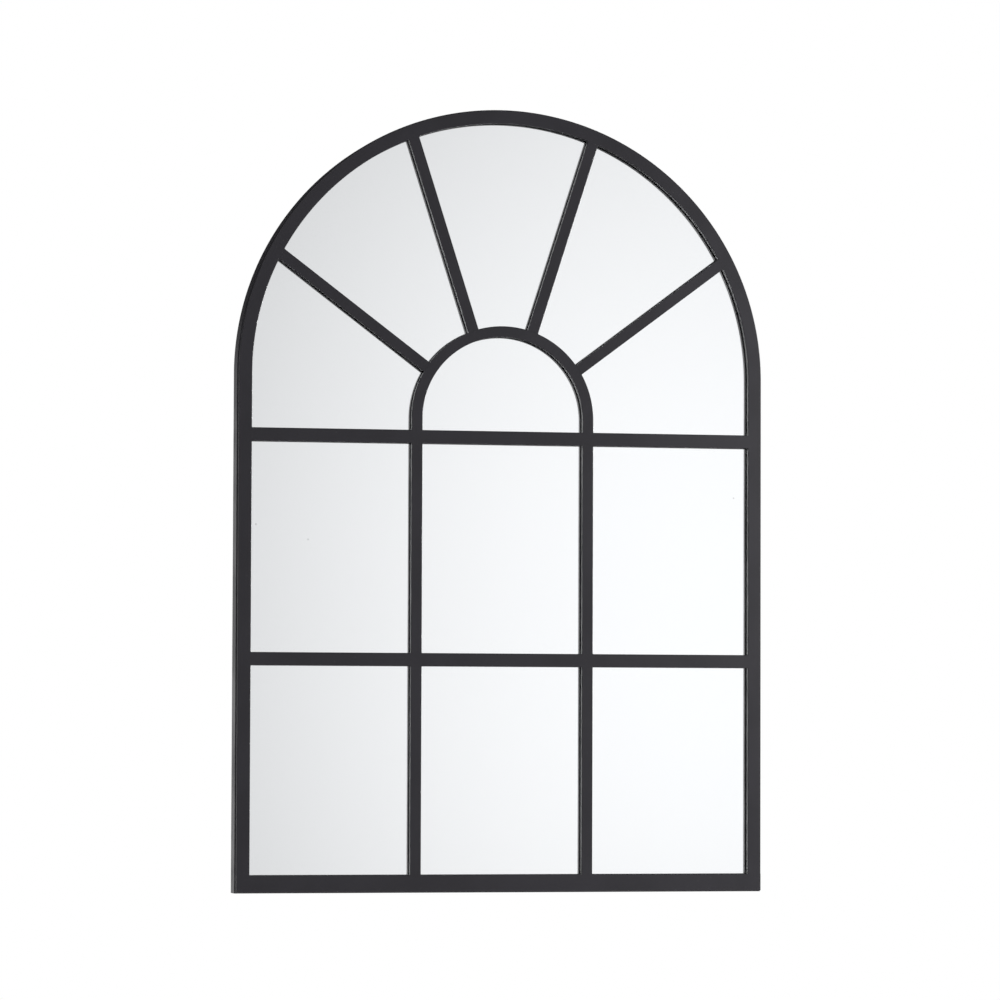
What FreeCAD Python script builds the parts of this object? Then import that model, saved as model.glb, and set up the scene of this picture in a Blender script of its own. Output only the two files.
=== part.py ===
# Arched window mirror: a rim of flat strip on edge, a welded front grille of flat bars,
# one sheet of mirror glass, a backing board held by screwed tabs, and two D-ring hangers.
#
# Frame: x = 0 on the centre line, y = 0 on the wall with the front towards -y,
# z = 0 at the underside. All lengths in millimetres, all angles in degrees.
import FreeCAD, Part
import math
import os
import Sketcher

DRIVING_SIZES = {
    # Outline
    "overall_width": 610,
    "overall_height": 890,
    # Rim band: strip on edge
    "band_thickness": 3,
    "band_depth": 23,
    # Front ring: flat bar laid on the front edge of the band
    "face_width": 15,
    "face_thickness": 7,
    "face_inset": 1.2,
    "rail_width": 19,
    # Grille
    "cross_bar_width": 15,
    "upright_width": 12.4,
    "upright_spacing": 198.8,
    "lower_bar_level": 262.8,
    "upper_bar_level": 515.1,
    "hoop_leg_rise": 14.1,
    "fan_centre_drop": 8.7,
    "first_spoke_angle": 36.75,
    "spoke_pitch_angle": 35.5,
    # Glass and what lies behind it
    "tape_thickness": 0.8,
    "tape_width": 9,
    "tape_edge_gap": 1,
    "glass_thickness": 4,
    "glass_edge_gap": 2,
    "foam_thickness": 1,
    "foam_edge_gap": 3,
    "board_thickness": 5,
    # Tabs that hold the board
    "tab_thickness": 1.5,
    "tab_width": 16,
    "tab_leg_length": 10,
    "tab_foot_length": 16,
    "tab_hole_inset": 10,
    "tab_hole_radius": 1.8,
    "side_tab_low_level": 140,
    "side_tab_high_level": 430,
    "bottom_tab_spacing": 300,
    "arch_tab_angle": 45,
    # Screws
    "screw_shank_radius": 1.5,
    "screw_bite": 4,
    "screw_tip_length": 1,
    "screw_head_radius": 3,
    "screw_head_height": 2,
    "screw_crown_radius": 2,
    "screw_crown_drop": 0.8,
    "recess_length": 3,
    "recess_width": 0.7,
    "recess_depth": 1,
    "pilot_clearance": 0.05,
    # Hangers
    "hanger_inset": 75,
    "hanger_rise": 15,
    "strap_thickness": 1.2,
    "strap_width": 24,
    "strap_drop": 13,
    "strap_screw_drop": 7.2,
    "strap_screw_spacing": 13,
    "strap_hole_radius": 1.8,
    "curl_end_angle": 60,
    "ring_wire_radius": 1.5,
    "ring_play": 0.25,
    "ring_inner_width": 30,
    "ring_inner_depth": 24,
    "ring_corner_radius": 3.5,
}

SPOKE_COUNT = 4
X_AXIS = FreeCAD.Vector(1, 0, 0)
Y_AXIS = FreeCAD.Vector(0, 1, 0)
Z_AXIS = FreeCAD.Vector(0, 0, 1)

# Places worked out from the driving sizes, written as expressions on the sheet.
S = "Sizes."
HALF_WIDTH = f"({S}overall_width / 2)"
SPRING = f"({S}overall_height - {S}overall_width / 2)"
OVERALL_DEPTH = f"({S}band_depth + {S}face_thickness)"
BAND_INNER = f"({HALF_WIDTH} - {S}band_thickness)"
FACE_OUTER = f"({HALF_WIDTH} - {S}face_inset)"
FACE_INNER = f"({FACE_OUTER} - {S}face_width)"
RAIL_TOP = f"({S}face_inset + {S}rail_width)"
LOWER_BAR_UNDER = f"({S}lower_bar_level - {S}cross_bar_width / 2)"
LOWER_BAR_TOP = f"({S}lower_bar_level + {S}cross_bar_width / 2)"
UPPER_BAR_UNDER = f"({S}upper_bar_level - {S}cross_bar_width / 2)"
UPPER_BAR_TOP = f"({S}upper_bar_level + {S}cross_bar_width / 2)"
HOOP_CENTRE = f"({UPPER_BAR_TOP} + {S}hoop_leg_rise)"
FAN_CENTRE = f"({HOOP_CENTRE} - {S}fan_centre_drop)"
HOOP_OUTER = f"({S}upright_spacing / 2 + {S}upright_width / 2)"
HOOP_INNER = f"({S}upright_spacing / 2 - {S}upright_width / 2)"
TAPE_BACK = f"({S}band_depth - {S}tape_thickness)"
GLASS_BACK = f"({TAPE_BACK} - {S}glass_thickness)"
FOAM_BACK = f"({GLASS_BACK} - {S}foam_thickness)"
BOARD_BACK = f"({FOAM_BACK} - {S}board_thickness)"
# A flat tab leg touches the round band at its two edges, so it stands a little further in.
ARCH_TAB_RADIUS = f"sqrt({BAND_INNER} ^ 2 - ({S}tab_width / 2) ^ 2)"
HANGER_OFFSET = f"({HALF_WIDTH} - {S}hanger_inset)"
HANGER_LEVEL = f"({SPRING} + {S}hanger_rise)"
CURL_INNER = f"({S}ring_wire_radius + {S}ring_play)"
CURL_OUTER = f"({CURL_INNER} + {S}strap_thickness)"
RING_HALF = f"({S}ring_inner_width / 2 + {S}ring_wire_radius)"
RING_BOTTOM = f"({S}ring_inner_depth + 2 * {S}ring_wire_radius)"
RING_AXIS_DEPTH = f"({BOARD_BACK} - {CURL_OUTER})"

document = FreeCAD.newDocument("ArchedWindowMirror")
sheet = document.addObject("Spreadsheet::Sheet", "Sizes")
for row, (alias, number) in enumerate(DRIVING_SIZES.items(), start=1):
    sheet.set(f"A{row}", alias)
    sheet.set(f"B{row}", str(number))
    sheet.setAlias(f"B{row}", alias)
document.recompute()


def value(expression):
    """Return the number that an expression on the sheet stands for."""
    return float(sheet.evalExpression(expression.replace(S, "")))


def bind(thing, **expressions):
    """Tie properties of an object to the sheet; double underscores stand for dots."""
    for name, expression in expressions.items():
        thing.setExpression(name.replace("__", "."), expression)


def place(thing, x="0", y="0", z="0", turn=None):
    """Put an object at x, y, z, turned about the +y axis by an angle in degrees."""
    if turn is not None:
        thing.Placement = FreeCAD.Placement(FreeCAD.Vector(), FreeCAD.Rotation(Y_AXIS, 1))
        bind(thing, Placement__Rotation__Angle=f"({turn}) * 1 deg")
    bind(thing, Placement__Base__x=x, Placement__Base__y=y, Placement__Base__z=z)


def primitive(kind, label, **expressions):
    """Add a Part primitive with its sizes tied to the sheet."""
    thing = document.addObject(f"Part::{kind}", label)
    bind(thing, **expressions)
    return thing


def box(label, x, y, z, length, width, height):
    """Add a box: x, y, z of its lowest corner and its sizes along x, y and z."""
    thing = primitive("Box", label, Length=length, Width=width, Height=height)
    place(thing, x, y, z)
    return thing


def cut(label, base, tool):
    """Add the base with the tool taken out of it."""
    thing = document.addObject("Part::Cut", label)
    thing.Base = base
    thing.Tool = tool
    return thing


def fuse(label, pieces):
    """Add several solids joined into one."""
    thing = document.addObject("Part::MultiFuse", label)
    thing.Shapes = pieces
    thing.Refine = True
    return thing


def group_of(label, pieces):
    """Add several separate solids as one object."""
    thing = document.addObject("Part::Compound", label)
    thing.Links = pieces
    return thing


class Outline:
    """A sketch on one origin plane of a body, held by constraints tied to the sheet."""

    def __init__(self, body, name, plane):
        self.sketch = body.newObject("Sketcher::SketchObject", name)
        support = [item for item in body.Origin.OriginFeatures if item.Role == plane][0]
        self.sketch.AttachmentSupport = [(support, "")]
        self.sketch.MapMode = "FlatFace"

    def line(self, start, end):
        """Add a straight edge between two (x, y) points."""
        return self.sketch.addGeometry(Part.LineSegment(
            FreeCAD.Vector(*start, 0), FreeCAD.Vector(*end, 0)), False)

    def arc(self, centre, radius, first, last):
        """Add an anticlockwise arc from the first to the last angle, in degrees."""
        circle = Part.Circle(FreeCAD.Vector(*centre, 0), Z_AXIS, radius)
        return self.sketch.addGeometry(
            Part.ArcOfCircle(circle, math.radians(first), math.radians(last)), False)

    def fix(self, kind, *where, size=None):
        """Add a constraint; a size is an expression on the sheet and drives it."""
        if size is None:
            return self.sketch.addConstraint(Sketcher.Constraint(kind, *where))
        number = value(size)
        index = self.sketch.addConstraint(Sketcher.Constraint(kind, *where, number))
        self.sketch.setExpression(f"Constraints[{index}]", size)
        return index

    def on_centre_line(self, edge, end):
        """Hold a point on the sketch's vertical axis."""
        self.fix("PointOnObject", edge, end, -2)

    def on_ground_line(self, edge, end):
        """Hold a point on the sketch's horizontal axis."""
        self.fix("PointOnObject", edge, end, -1)

    def chain(self, joints):
        """Join edge ends: each item is (edge, end, next edge, end)."""
        for joint in joints:
            self.fix("Coincident", *joint)

    def closed(self, count):
        """Close a ring of edges drawn in order from edge 0, each end to the next start."""
        self.chain([(edge, 2, (edge + 1) % count, 1) for edge in range(count)])


# How a sketch numbers its own origin.
ORIGIN_POINT = (-1, 1)


def body_with_outline(label, plane="XZ_Plane"):
    """Start a body with an empty outline on one of its origin planes."""
    body = document.addObject("PartDesign::Body", label)
    return body, Outline(body, f"{label}_outline", plane)


def pad(body, outline, length, midplane=False):
    """Pad an outline by a length; on the XZ plane it grows towards the front."""
    feature = body.newObject("PartDesign::Pad", f"{body.Name}_pad")
    feature.Profile = outline.sketch
    feature.Midplane = midplane
    bind(feature, Length=length)
    body.Tip = feature
    return feature


def arched_loop(outline, half, base):
    """Draw a straight-sided loop with a half-round head about the springline."""
    half_now, base_now, spring_now = value(half), value(base), value(SPRING)
    foot = outline.line((-half_now, base_now), (half_now, base_now))
    right = outline.line((half_now, base_now), (half_now, spring_now))
    head = outline.arc((0, spring_now), half_now, 0, 180)
    left = outline.line((-half_now, spring_now), (-half_now, base_now))
    outline.chain([(foot, 2, right, 1), (right, 2, head, 1), (head, 2, left, 1), (left, 2, foot, 1)])
    outline.fix("Horizontal", foot)
    outline.fix("Vertical", right)
    outline.fix("Vertical", left)
    outline.on_centre_line(head, 3)
    outline.fix("DistanceY", *ORIGIN_POINT, head, 3, size=SPRING)
    outline.fix("Radius", head, size=half)
    outline.fix("Horizontal", head, 3, head, 1)
    outline.fix("Horizontal", head, 3, head, 2)
    outline.fix("DistanceY", *ORIGIN_POINT, foot, 1, size=base)


def arched_sheet(label, half, base, back, thickness):
    """Make a flat arched sheet whose rear face stands `back` off the wall."""
    body, outline = body_with_outline(label)
    arched_loop(outline, half, base)
    pad(body, outline, thickness)
    place(body, y=f"-{back}")
    return body


def half_ring(label, outer, inner, back, depth):
    """Make a half-round strip about the springline, its rear `back` off the wall."""
    body, outline = body_with_outline(label)
    outer_now, inner_now, spring_now = value(outer), value(inner), value(SPRING)
    rim = outline.arc((0, spring_now), outer_now, 0, 180)
    left = outline.line((-outer_now, spring_now), (-inner_now, spring_now))
    bore = outline.arc((0, spring_now), inner_now, 0, 180)
    right = outline.line((inner_now, spring_now), (outer_now, spring_now))
    outline.chain([(rim, 2, left, 1), (left, 2, bore, 2), (bore, 1, right, 1), (right, 2, rim, 1)])
    outline.on_centre_line(rim, 3)
    outline.fix("DistanceY", *ORIGIN_POINT, rim, 3, size=SPRING)
    outline.fix("Coincident", rim, 3, bore, 3)
    outline.fix("Radius", rim, size=outer)
    outline.fix("Radius", bore, size=inner)
    for edge, end in ((rim, 1), (rim, 2), (bore, 1), (bore, 2)):
        outline.fix("Horizontal", rim, 3, edge, end)
    pad(body, outline, depth)
    place(body, y=f"-{back}")
    return body


def rim_band():
    """Make the four strips on edge that form the rim."""
    depth = f"{S}band_depth"
    thick = f"{S}band_thickness"
    sides = {"left": f"-{HALF_WIDTH}", "right": BAND_INNER}
    strips = [box(f"side_band_{side}", x, f"-{depth}", "0", thick, depth, SPRING)
              for side, x in sides.items()]
    strips.append(box("bottom_band", f"-{BAND_INNER}", f"-{depth}", "0",
                      f"2 * {BAND_INNER}", depth, thick))
    strips.append(half_ring("arch_band", HALF_WIDTH, BAND_INNER, "0", depth))
    return strips


def flat_bar(label, x, z, length, height):
    """Make a flat bar in the front plane from its lower left corner."""
    return box(label, x, f"-{OVERALL_DEPTH}", z, length, f"{S}face_thickness", height)


def front_ring():
    """Make the flat ring on the front: bottom rail, two stiles and the arch."""
    rail = flat_bar("face_bottom", f"-{FACE_OUTER}", f"{S}face_inset",
                    f"2 * {FACE_OUTER}", f"{S}rail_width")
    stile_height = f"{SPRING} - {RAIL_TOP}"
    left = flat_bar("face_left", f"-{FACE_OUTER}", RAIL_TOP, f"{S}face_width", stile_height)
    right = flat_bar("face_right", FACE_INNER, RAIL_TOP, f"{S}face_width", stile_height)
    arch = half_ring("face_arch", FACE_OUTER, FACE_INNER, f"{S}band_depth", f"{S}face_thickness")
    return [rail, left, right, arch]


def hoop():
    """Make the round-headed bar that stands on the upper cross bar."""
    body, outline = body_with_outline("hoop")
    outer, inner = value(HOOP_OUTER), value(HOOP_INNER)
    centre, foot = value(HOOP_CENTRE), value(UPPER_BAR_TOP)
    head = outline.arc((0, centre), outer, 0, 180)
    left_out = outline.line((-outer, centre), (-outer, foot))
    left_foot = outline.line((-outer, foot), (-inner, foot))
    left_in = outline.line((-inner, foot), (-inner, centre))
    bore = outline.arc((0, centre), inner, 0, 180)
    right_in = outline.line((inner, centre), (inner, foot))
    right_foot = outline.line((inner, foot), (outer, foot))
    right_out = outline.line((outer, foot), (outer, centre))
    outline.chain([(head, 2, left_out, 1), (left_out, 2, left_foot, 1),
                   (left_foot, 2, left_in, 1), (left_in, 2, bore, 2),
                   (bore, 1, right_in, 1), (right_in, 2, right_foot, 1),
                   (right_foot, 2, right_out, 1), (right_out, 2, head, 1)])
    for edge in (left_out, left_in, right_in, right_out):
        outline.fix("Vertical", edge)
    for edge in (left_foot, right_foot):
        outline.fix("Horizontal", edge)
        outline.fix("DistanceY", *ORIGIN_POINT, edge, 1, size=UPPER_BAR_TOP)
    outline.on_centre_line(head, 3)
    outline.fix("DistanceY", *ORIGIN_POINT, head, 3, size=HOOP_CENTRE)
    outline.fix("Coincident", head, 3, bore, 3)
    outline.fix("Radius", head, size=HOOP_OUTER)
    outline.fix("Radius", bore, size=HOOP_INNER)
    for edge, end in ((head, 1), (head, 2), (bore, 1), (bore, 2)):
        outline.fix("Horizontal", head, 3, edge, end)
    pad(body, outline, f"{S}face_thickness")
    place(body, y=f"-{S}band_depth")
    return body


def front_disc(label, radius, level):
    """Make a disc as thick as the front bars, used to end the spokes."""
    disc = primitive("Cylinder", label, Radius=radius, Height=f"{S}face_thickness")
    disc.Placement = FreeCAD.Placement(FreeCAD.Vector(), FreeCAD.Rotation(X_AXIS, 90))
    place(disc, y=f"-{S}band_depth", z=level)
    return disc


def spokes():
    """Make the fanlight spokes, cut round at the hoop and at the arch."""
    fan = cut("fan_zone", front_disc("arch_opening", FACE_INNER, SPRING),
              front_disc("hoop_disc", HOOP_OUTER, HOOP_CENTRE))
    made = []
    for index in range(SPOKE_COUNT):
        angle = f"({S}first_spoke_angle + {index} * {S}spoke_pitch_angle)"
        # The blank starts at the fan's centre, just below the hoop's, and reaches past the arch.
        half = f"{S}upright_width / 2"
        blank = primitive("Box", f"spoke_blank_{index + 1}", Length=f"{S}overall_height",
                          Width=f"{S}face_thickness", Height=f"{S}upright_width")
        place(blank, x=f"{half} * sin({angle} * 1 deg)", y=f"-{OVERALL_DEPTH}",
              z=f"{FAN_CENTRE} - {half} * cos({angle} * 1 deg)", turn=f"-{angle}")
        spoke = document.addObject("Part::Common", f"spoke_{index + 1}")
        spoke.Base = fan
        spoke.Tool = blank
        made.append(spoke)
    return made


def grille():
    """Make the cross bars, uprights, hoop and spokes."""
    across = f"2 * {FACE_INNER}"
    bars = [flat_bar("lower_cross_bar", f"-{FACE_INNER}", LOWER_BAR_UNDER, across,
                     f"{S}cross_bar_width"),
            flat_bar("upper_cross_bar", f"-{FACE_INNER}", UPPER_BAR_UNDER, across,
                     f"{S}cross_bar_width")]
    columns = {"left": f"-{HOOP_OUTER}", "right": HOOP_INNER}
    rows = {"low": (RAIL_TOP, LOWER_BAR_UNDER), "high": (LOWER_BAR_TOP, UPPER_BAR_UNDER)}
    for row_name, (foot, head) in rows.items():
        for side, x in columns.items():
            bars.append(flat_bar(f"upright_{row_name}_{side}", x, foot, f"{S}upright_width",
                                 f"{head} - {foot}"))
    return bars + [hoop()] + spokes()


def glass_stack():
    """Make the tape, mirror glass and foam; the board follows with its pilot holes."""
    body, outline = body_with_outline("glass_tape")
    outer = f"({BAND_INNER} - {S}glass_edge_gap - {S}tape_edge_gap)"
    base = f"({S}band_thickness + {S}glass_edge_gap + {S}tape_edge_gap)"
    arched_loop(outline, outer, base)
    arched_loop(outline, f"({outer} - {S}tape_width)", f"({base} + {S}tape_width)")
    pad(body, outline, f"{S}tape_thickness")
    place(body, y=f"-{TAPE_BACK}")
    glass = arched_sheet("mirror_glass", f"({BAND_INNER} - {S}glass_edge_gap)",
                         f"({S}band_thickness + {S}glass_edge_gap)", GLASS_BACK,
                         f"{S}glass_thickness")
    foam = arched_sheet("foam_sheet", f"({BAND_INNER} - {S}foam_edge_gap)",
                        f"({S}band_thickness + {S}foam_edge_gap)", FOAM_BACK,
                        f"{S}foam_thickness")
    return [body, glass, foam]


class Spot:
    """A place on the rim for a tab: a foot point and the outward direction there."""

    def __init__(self, name, x, z, radius, angle):
        self.name = name
        self.x = x
        self.z = z
        self.radius = radius
        self.angle = angle

    def along(self, inward="0"):
        """Return x and z of the point `inward` of the tab's seat."""
        reach = f"({self.radius} - {inward})"
        return (f"{self.x} + {reach} * cos({self.angle} * 1 deg)",
                f"{self.z} + {reach} * sin({self.angle} * 1 deg)")


def tab_spots():
    """List where the nine tabs sit round the rim."""
    spots = []
    levels = {"low": f"{S}side_tab_low_level", "high": f"{S}side_tab_high_level"}
    for name, level in levels.items():
        spots.append(Spot(f"right_{name}", "0", level, BAND_INNER, "0"))
        spots.append(Spot(f"left_{name}", "0", level, BAND_INNER, "180"))
    for name, sign in (("right", ""), ("left", "-")):
        spots.append(Spot(f"bottom_{name}", f"{sign}{S}bottom_tab_spacing / 2",
                          f"{S}band_thickness", "0", "-90"))
    for name, angle in (("right", f"(90 - {S}arch_tab_angle)"), ("top", "90"),
                        ("left", f"(90 + {S}arch_tab_angle)")):
        spots.append(Spot(f"arch_{name}", "0", SPRING, ARCH_TAB_RADIUS, angle))
    return spots


def copies(label, model, places):
    """Group copies of one piece: each place is (name, x, y, z, turn)."""
    links = []
    for name, x, y, z, turn in places:
        link = document.addObject("App::Link", f"{label}_{name}")
        link.LinkedObject = model
        place(link, x, y, z, turn)
        links.append(link)
    return group_of(label, links)


def tab_model():
    """Make one bent tab: +x outward, leg on the band, foot on the board, y = 0 its face."""
    thick, width = f"{S}tab_thickness", f"{S}tab_width"
    low = f"-{width} / 2"
    leg = box("tab_leg", f"-{thick}", "0", low, thick, f"{S}tab_leg_length", width)
    foot = box("tab_foot", f"-{S}tab_foot_length", "0", low, f"{S}tab_foot_length", thick, width)
    hole = primitive("Cylinder", "tab_hole", Radius=f"{S}tab_hole_radius", Height=f"2 * {thick}")
    hole.Placement = FreeCAD.Placement(FreeCAD.Vector(), FreeCAD.Rotation(X_AXIS, -90))
    place(hole, x=f"-{S}tab_hole_inset", y=f"-{thick} / 2")
    return cut("tab_model", fuse("tab_blank", [leg, foot]), hole)


def screw_model():
    """Make one pan-head screw: head above y = 0, shank below, with a cross recess."""
    body, outline = body_with_outline("screw_blank", "XY_Plane")
    bite = f"({S}screw_bite + {S}strap_thickness)"
    points = [("0", f"-{bite}"),
              (f"{S}screw_shank_radius", f"-({bite} - {S}screw_tip_length)"),
              (f"{S}screw_shank_radius", "0"),
              (f"{S}screw_head_radius", "0"),
              (f"{S}screw_head_radius", f"{S}screw_head_height - {S}screw_crown_drop"),
              (f"{S}screw_crown_radius", f"{S}screw_head_height"),
              ("0", f"{S}screw_head_height")]
    now = [(value(x), value(y)) for x, y in points]
    count = len(points)
    for index in range(count):
        outline.line(now[index], now[(index + 1) % count])
    outline.closed(count)
    for index, (x, y) in enumerate(points):
        if x == "0":
            outline.on_centre_line(index, 1)
        else:
            outline.fix("DistanceX", *ORIGIN_POINT, index, 1, size=x)
        if y == "0":
            outline.on_ground_line(index, 1)
        elif y.startswith("-"):
            outline.fix("DistanceY", index, 1, *ORIGIN_POINT, size=y[1:])
        else:
            outline.fix("DistanceY", *ORIGIN_POINT, index, 1, size=y)
    turned = body.newObject("PartDesign::Revolution", "screw_turned")
    turned.Profile = outline.sketch
    turned.ReferenceAxis = (outline.sketch, ["V_Axis"])
    turned.Angle = 360
    body.Tip = turned
    long_side, short_side = f"{S}recess_length", f"{S}recess_width"
    floor = f"{S}screw_head_height - {S}recess_depth"
    slots = [box(f"recess_{name}", f"-{across} / 2", floor, f"-{along} / 2",
                 across, f"2 * {S}recess_depth", along)
             for name, across, along in (("one", long_side, short_side),
                                         ("two", short_side, long_side))]
    return cut("screw_model", body, fuse("recess", slots))


def strap_screw_places(depth):
    """List the x and z of the two screws in each strap plate, at a depth y."""
    found = []
    for side, sign in (("left", "-"), ("right", "")):
        for end, step in (("outer", "+"), ("inner", "-")):
            x = f"{sign}({HANGER_OFFSET} {step} {S}strap_screw_spacing / 2)"
            found.append((f"{side}_{end}", x, depth, f"{HANGER_LEVEL} - {S}strap_screw_drop"))
    return found


def board_and_fixings():
    """Make the board, the tabs that hold it, and every screw that goes into it."""
    spots = tab_spots()
    tab_places = []
    screw_places = []
    for spot in spots:
        x, z = spot.along()
        tab_places.append((spot.name, x, f"-{BOARD_BACK}", z, f"-({spot.angle})"))
        x, z = spot.along(f"{S}tab_hole_inset")
        screw_places.append((spot.name, x, f"{S}tab_thickness - {BOARD_BACK}", z,
                             f"-({spot.angle})"))
    tabs = copies("board_tabs", tab_model(), tab_places)
    screw = screw_model()
    tab_screws = copies("tab_screws", screw, screw_places)
    strap_places = [(*spot, "0") for spot in
                    strap_screw_places(f"{S}strap_thickness - {BOARD_BACK}")]
    hanger_screws = copies("hanger_screws", screw, strap_places)

    blank = arched_sheet("board_blank", f"({BAND_INNER} - {S}glass_edge_gap)",
                         f"({S}band_thickness + {S}glass_edge_gap)", BOARD_BACK,
                         f"{S}board_thickness")
    pilot = primitive("Cylinder", "pilot", Radius=f"{S}screw_shank_radius + {S}pilot_clearance",
                      Height=f"{S}screw_bite + {S}pilot_clearance")
    pilot.Placement = FreeCAD.Placement(FreeCAD.Vector(), FreeCAD.Rotation(X_AXIS, 90))
    # Copies of the group keep the turn that the cylinder has inside it.
    pilots = copies("pilots", group_of("pilot_model", [pilot]),
                    [(name, x, f"-{BOARD_BACK}", z, "0")
                     for name, x, _, z, *_ in screw_places + strap_places])
    board = cut("backing_board", blank, pilots)
    return [tabs, tab_screws, hanger_screws, board]


def strap_plate(side, x):
    """Make a strap plate whose upper end curls round the ring's straight bar."""
    body, outline = body_with_outline(f"strap_blank_{side}", "YZ_Plane")
    outer, inner, drop = value(CURL_OUTER), value(CURL_INNER), value(f"{S}strap_drop")
    end = value(f"{S}curl_end_angle")
    # The curl runs over the top, from the flat of the strap round to below the ring's bar.
    back = outline.line((-outer, -drop), (-outer, 0))
    rim = outline.arc((0, 0), outer, -end, 180)
    slope = (math.cos(math.radians(end)), -math.sin(math.radians(end)))
    tip = outline.line((outer * slope[0], outer * slope[1]), (inner * slope[0], inner * slope[1]))
    bore = outline.arc((0, 0), inner, -end, 180)
    front = outline.line((-inner, 0), (-inner, -drop))
    foot = outline.line((-inner, -drop), (-outer, -drop))
    outline.chain([(back, 2, rim, 2), (rim, 1, tip, 1), (tip, 2, bore, 1),
                   (bore, 2, front, 1), (front, 2, foot, 1), (foot, 2, back, 1)])
    outline.fix("Coincident", rim, 3, *ORIGIN_POINT)
    outline.fix("Coincident", bore, 3, *ORIGIN_POINT)
    outline.fix("Radius", rim, size=CURL_OUTER)
    outline.fix("Radius", bore, size=CURL_INNER)
    outline.fix("Vertical", back)
    outline.fix("Vertical", front)
    outline.fix("Horizontal", foot)
    outline.on_ground_line(rim, 2)
    outline.on_ground_line(bore, 2)
    slope_now = f"cos({S}curl_end_angle * 1 deg)"
    outline.fix("DistanceX", *ORIGIN_POINT, tip, 1, size=f"{CURL_OUTER} * {slope_now}")
    outline.fix("DistanceX", *ORIGIN_POINT, tip, 2, size=f"{CURL_INNER} * {slope_now}")
    outline.fix("DistanceY", foot, 1, *ORIGIN_POINT, size=f"{S}strap_drop")
    pad(body, outline, f"{S}strap_width", midplane=True)

    holes = []
    for end_name, sign in (("one", "-"), ("two", "")):
        hole = primitive("Cylinder", f"strap_hole_{side}_{end_name}",
                         Radius=f"{S}strap_hole_radius", Height=f"2 * {S}strap_thickness")
        hole.Placement = FreeCAD.Placement(FreeCAD.Vector(), FreeCAD.Rotation(X_AXIS, -90))
        place(hole, x=f"{sign}{S}strap_screw_spacing / 2",
              y=f"-({CURL_OUTER} + {S}strap_thickness / 2)", z=f"-{S}strap_screw_drop")
        holes.append(hole)
    plate = cut(f"hanger_plate_{side}", body, group_of(f"strap_holes_{side}", holes))
    place(plate, x, f"-{RING_AXIS_DEPTH}", HANGER_LEVEL)
    return plate


def hanger_ring(side, x):
    """Make a D-ring of round wire: a straight bar on the hinge axis, the loop below it."""
    body, spine = body_with_outline(f"hanger_ring_{side}")
    half, bottom, corner = value(RING_HALF), value(RING_BOTTOM), value(f"{S}ring_corner_radius")
    flat, bend = half - corner, half - bottom
    bar_right = spine.line((0, 0), (flat, 0))
    corner_right = spine.arc((flat, -corner), corner, 0, 90)
    leg_right = spine.line((half, -corner), (half, bend))
    bow = spine.arc((0, bend), half, 180, 360)
    leg_left = spine.line((-half, bend), (-half, -corner))
    corner_left = spine.arc((-flat, -corner), corner, 90, 180)
    bar_left = spine.line((-flat, 0), (0, 0))
    spine.chain([(bar_right, 2, corner_right, 2), (corner_right, 1, leg_right, 1),
                 (leg_right, 2, bow, 2), (bow, 1, leg_left, 1), (leg_left, 2, corner_left, 2),
                 (corner_left, 1, bar_left, 1), (bar_left, 2, bar_right, 1)])
    spine.fix("Coincident", bar_right, 1, *ORIGIN_POINT)
    for edge in (bar_right, bar_left):
        spine.fix("Horizontal", edge)
    for edge in (leg_right, leg_left):
        spine.fix("Vertical", edge)
    for arc_edge, level_end, side_end in ((corner_right, 1, 2), (corner_left, 2, 1)):
        spine.fix("Radius", arc_edge, size=f"{S}ring_corner_radius")
        spine.fix("Horizontal", arc_edge, 3, arc_edge, level_end)
        spine.fix("Vertical", arc_edge, 3, arc_edge, side_end)
    spine.on_centre_line(bow, 3)
    spine.fix("Radius", bow, size=RING_HALF)
    spine.fix("Horizontal", bow, 3, bow, 1)
    spine.fix("Horizontal", bow, 3, bow, 2)
    spine.fix("DistanceY", bow, 3, *ORIGIN_POINT, size=f"{RING_BOTTOM} - {RING_HALF}")

    section = Outline(body, f"ring_section_{side}", "YZ_Plane")
    wire = section.sketch.addGeometry(
        Part.Circle(FreeCAD.Vector(), Z_AXIS, value(f"{S}ring_wire_radius")), False)
    section.fix("Coincident", wire, 3, *ORIGIN_POINT)
    section.fix("Radius", wire, size=f"{S}ring_wire_radius")
    document.recompute()
    bent = body.newObject("PartDesign::AdditivePipe", f"ring_bent_{side}")
    bent.Profile = section.sketch
    bent.Spine = (spine.sketch, [])
    body.Tip = bent
    place(body, x, f"-{RING_AXIS_DEPTH}", HANGER_LEVEL)
    return body


def hangers():
    """Make the two hangers, one on each side of the board's back."""
    made = []
    for side, sign in (("left", "-"), ("right", "")):
        x = f"{sign}{HANGER_OFFSET}"
        made.append(strap_plate(side, x))
        made.append(hanger_ring(side, x))
    return made


def check(pieces):
    """Stop with a message if any object failed or any piece is empty or unsound."""
    for thing in document.Objects:
        if {"Invalid", "Error"} & set(thing.State):
            raise RuntimeError(f"{thing.Label} failed: {thing.State}")
    for piece in pieces:
        if piece.Shape.isNull() or not piece.Shape.isValid() or not piece.Shape.Solids:
            raise RuntimeError(f"{piece.Label} has no sound solid")


def write(pieces):
    """Write each piece to its own STEP file and print its size."""
    os.makedirs("parts", exist_ok=True)
    for piece in pieces:
        piece.Shape.exportStep(f"parts/{piece.Label}.step")
        volume = piece.Shape.Volume
        print(f"{piece.Label}: {len(piece.Shape.Solids)} solid(s), {volume:.1f} mm3")


pieces = rim_band() + front_ring() + grille() + glass_stack() + board_and_fixings() + hangers()
document.recompute()
check(pieces)
write(pieces)
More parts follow.
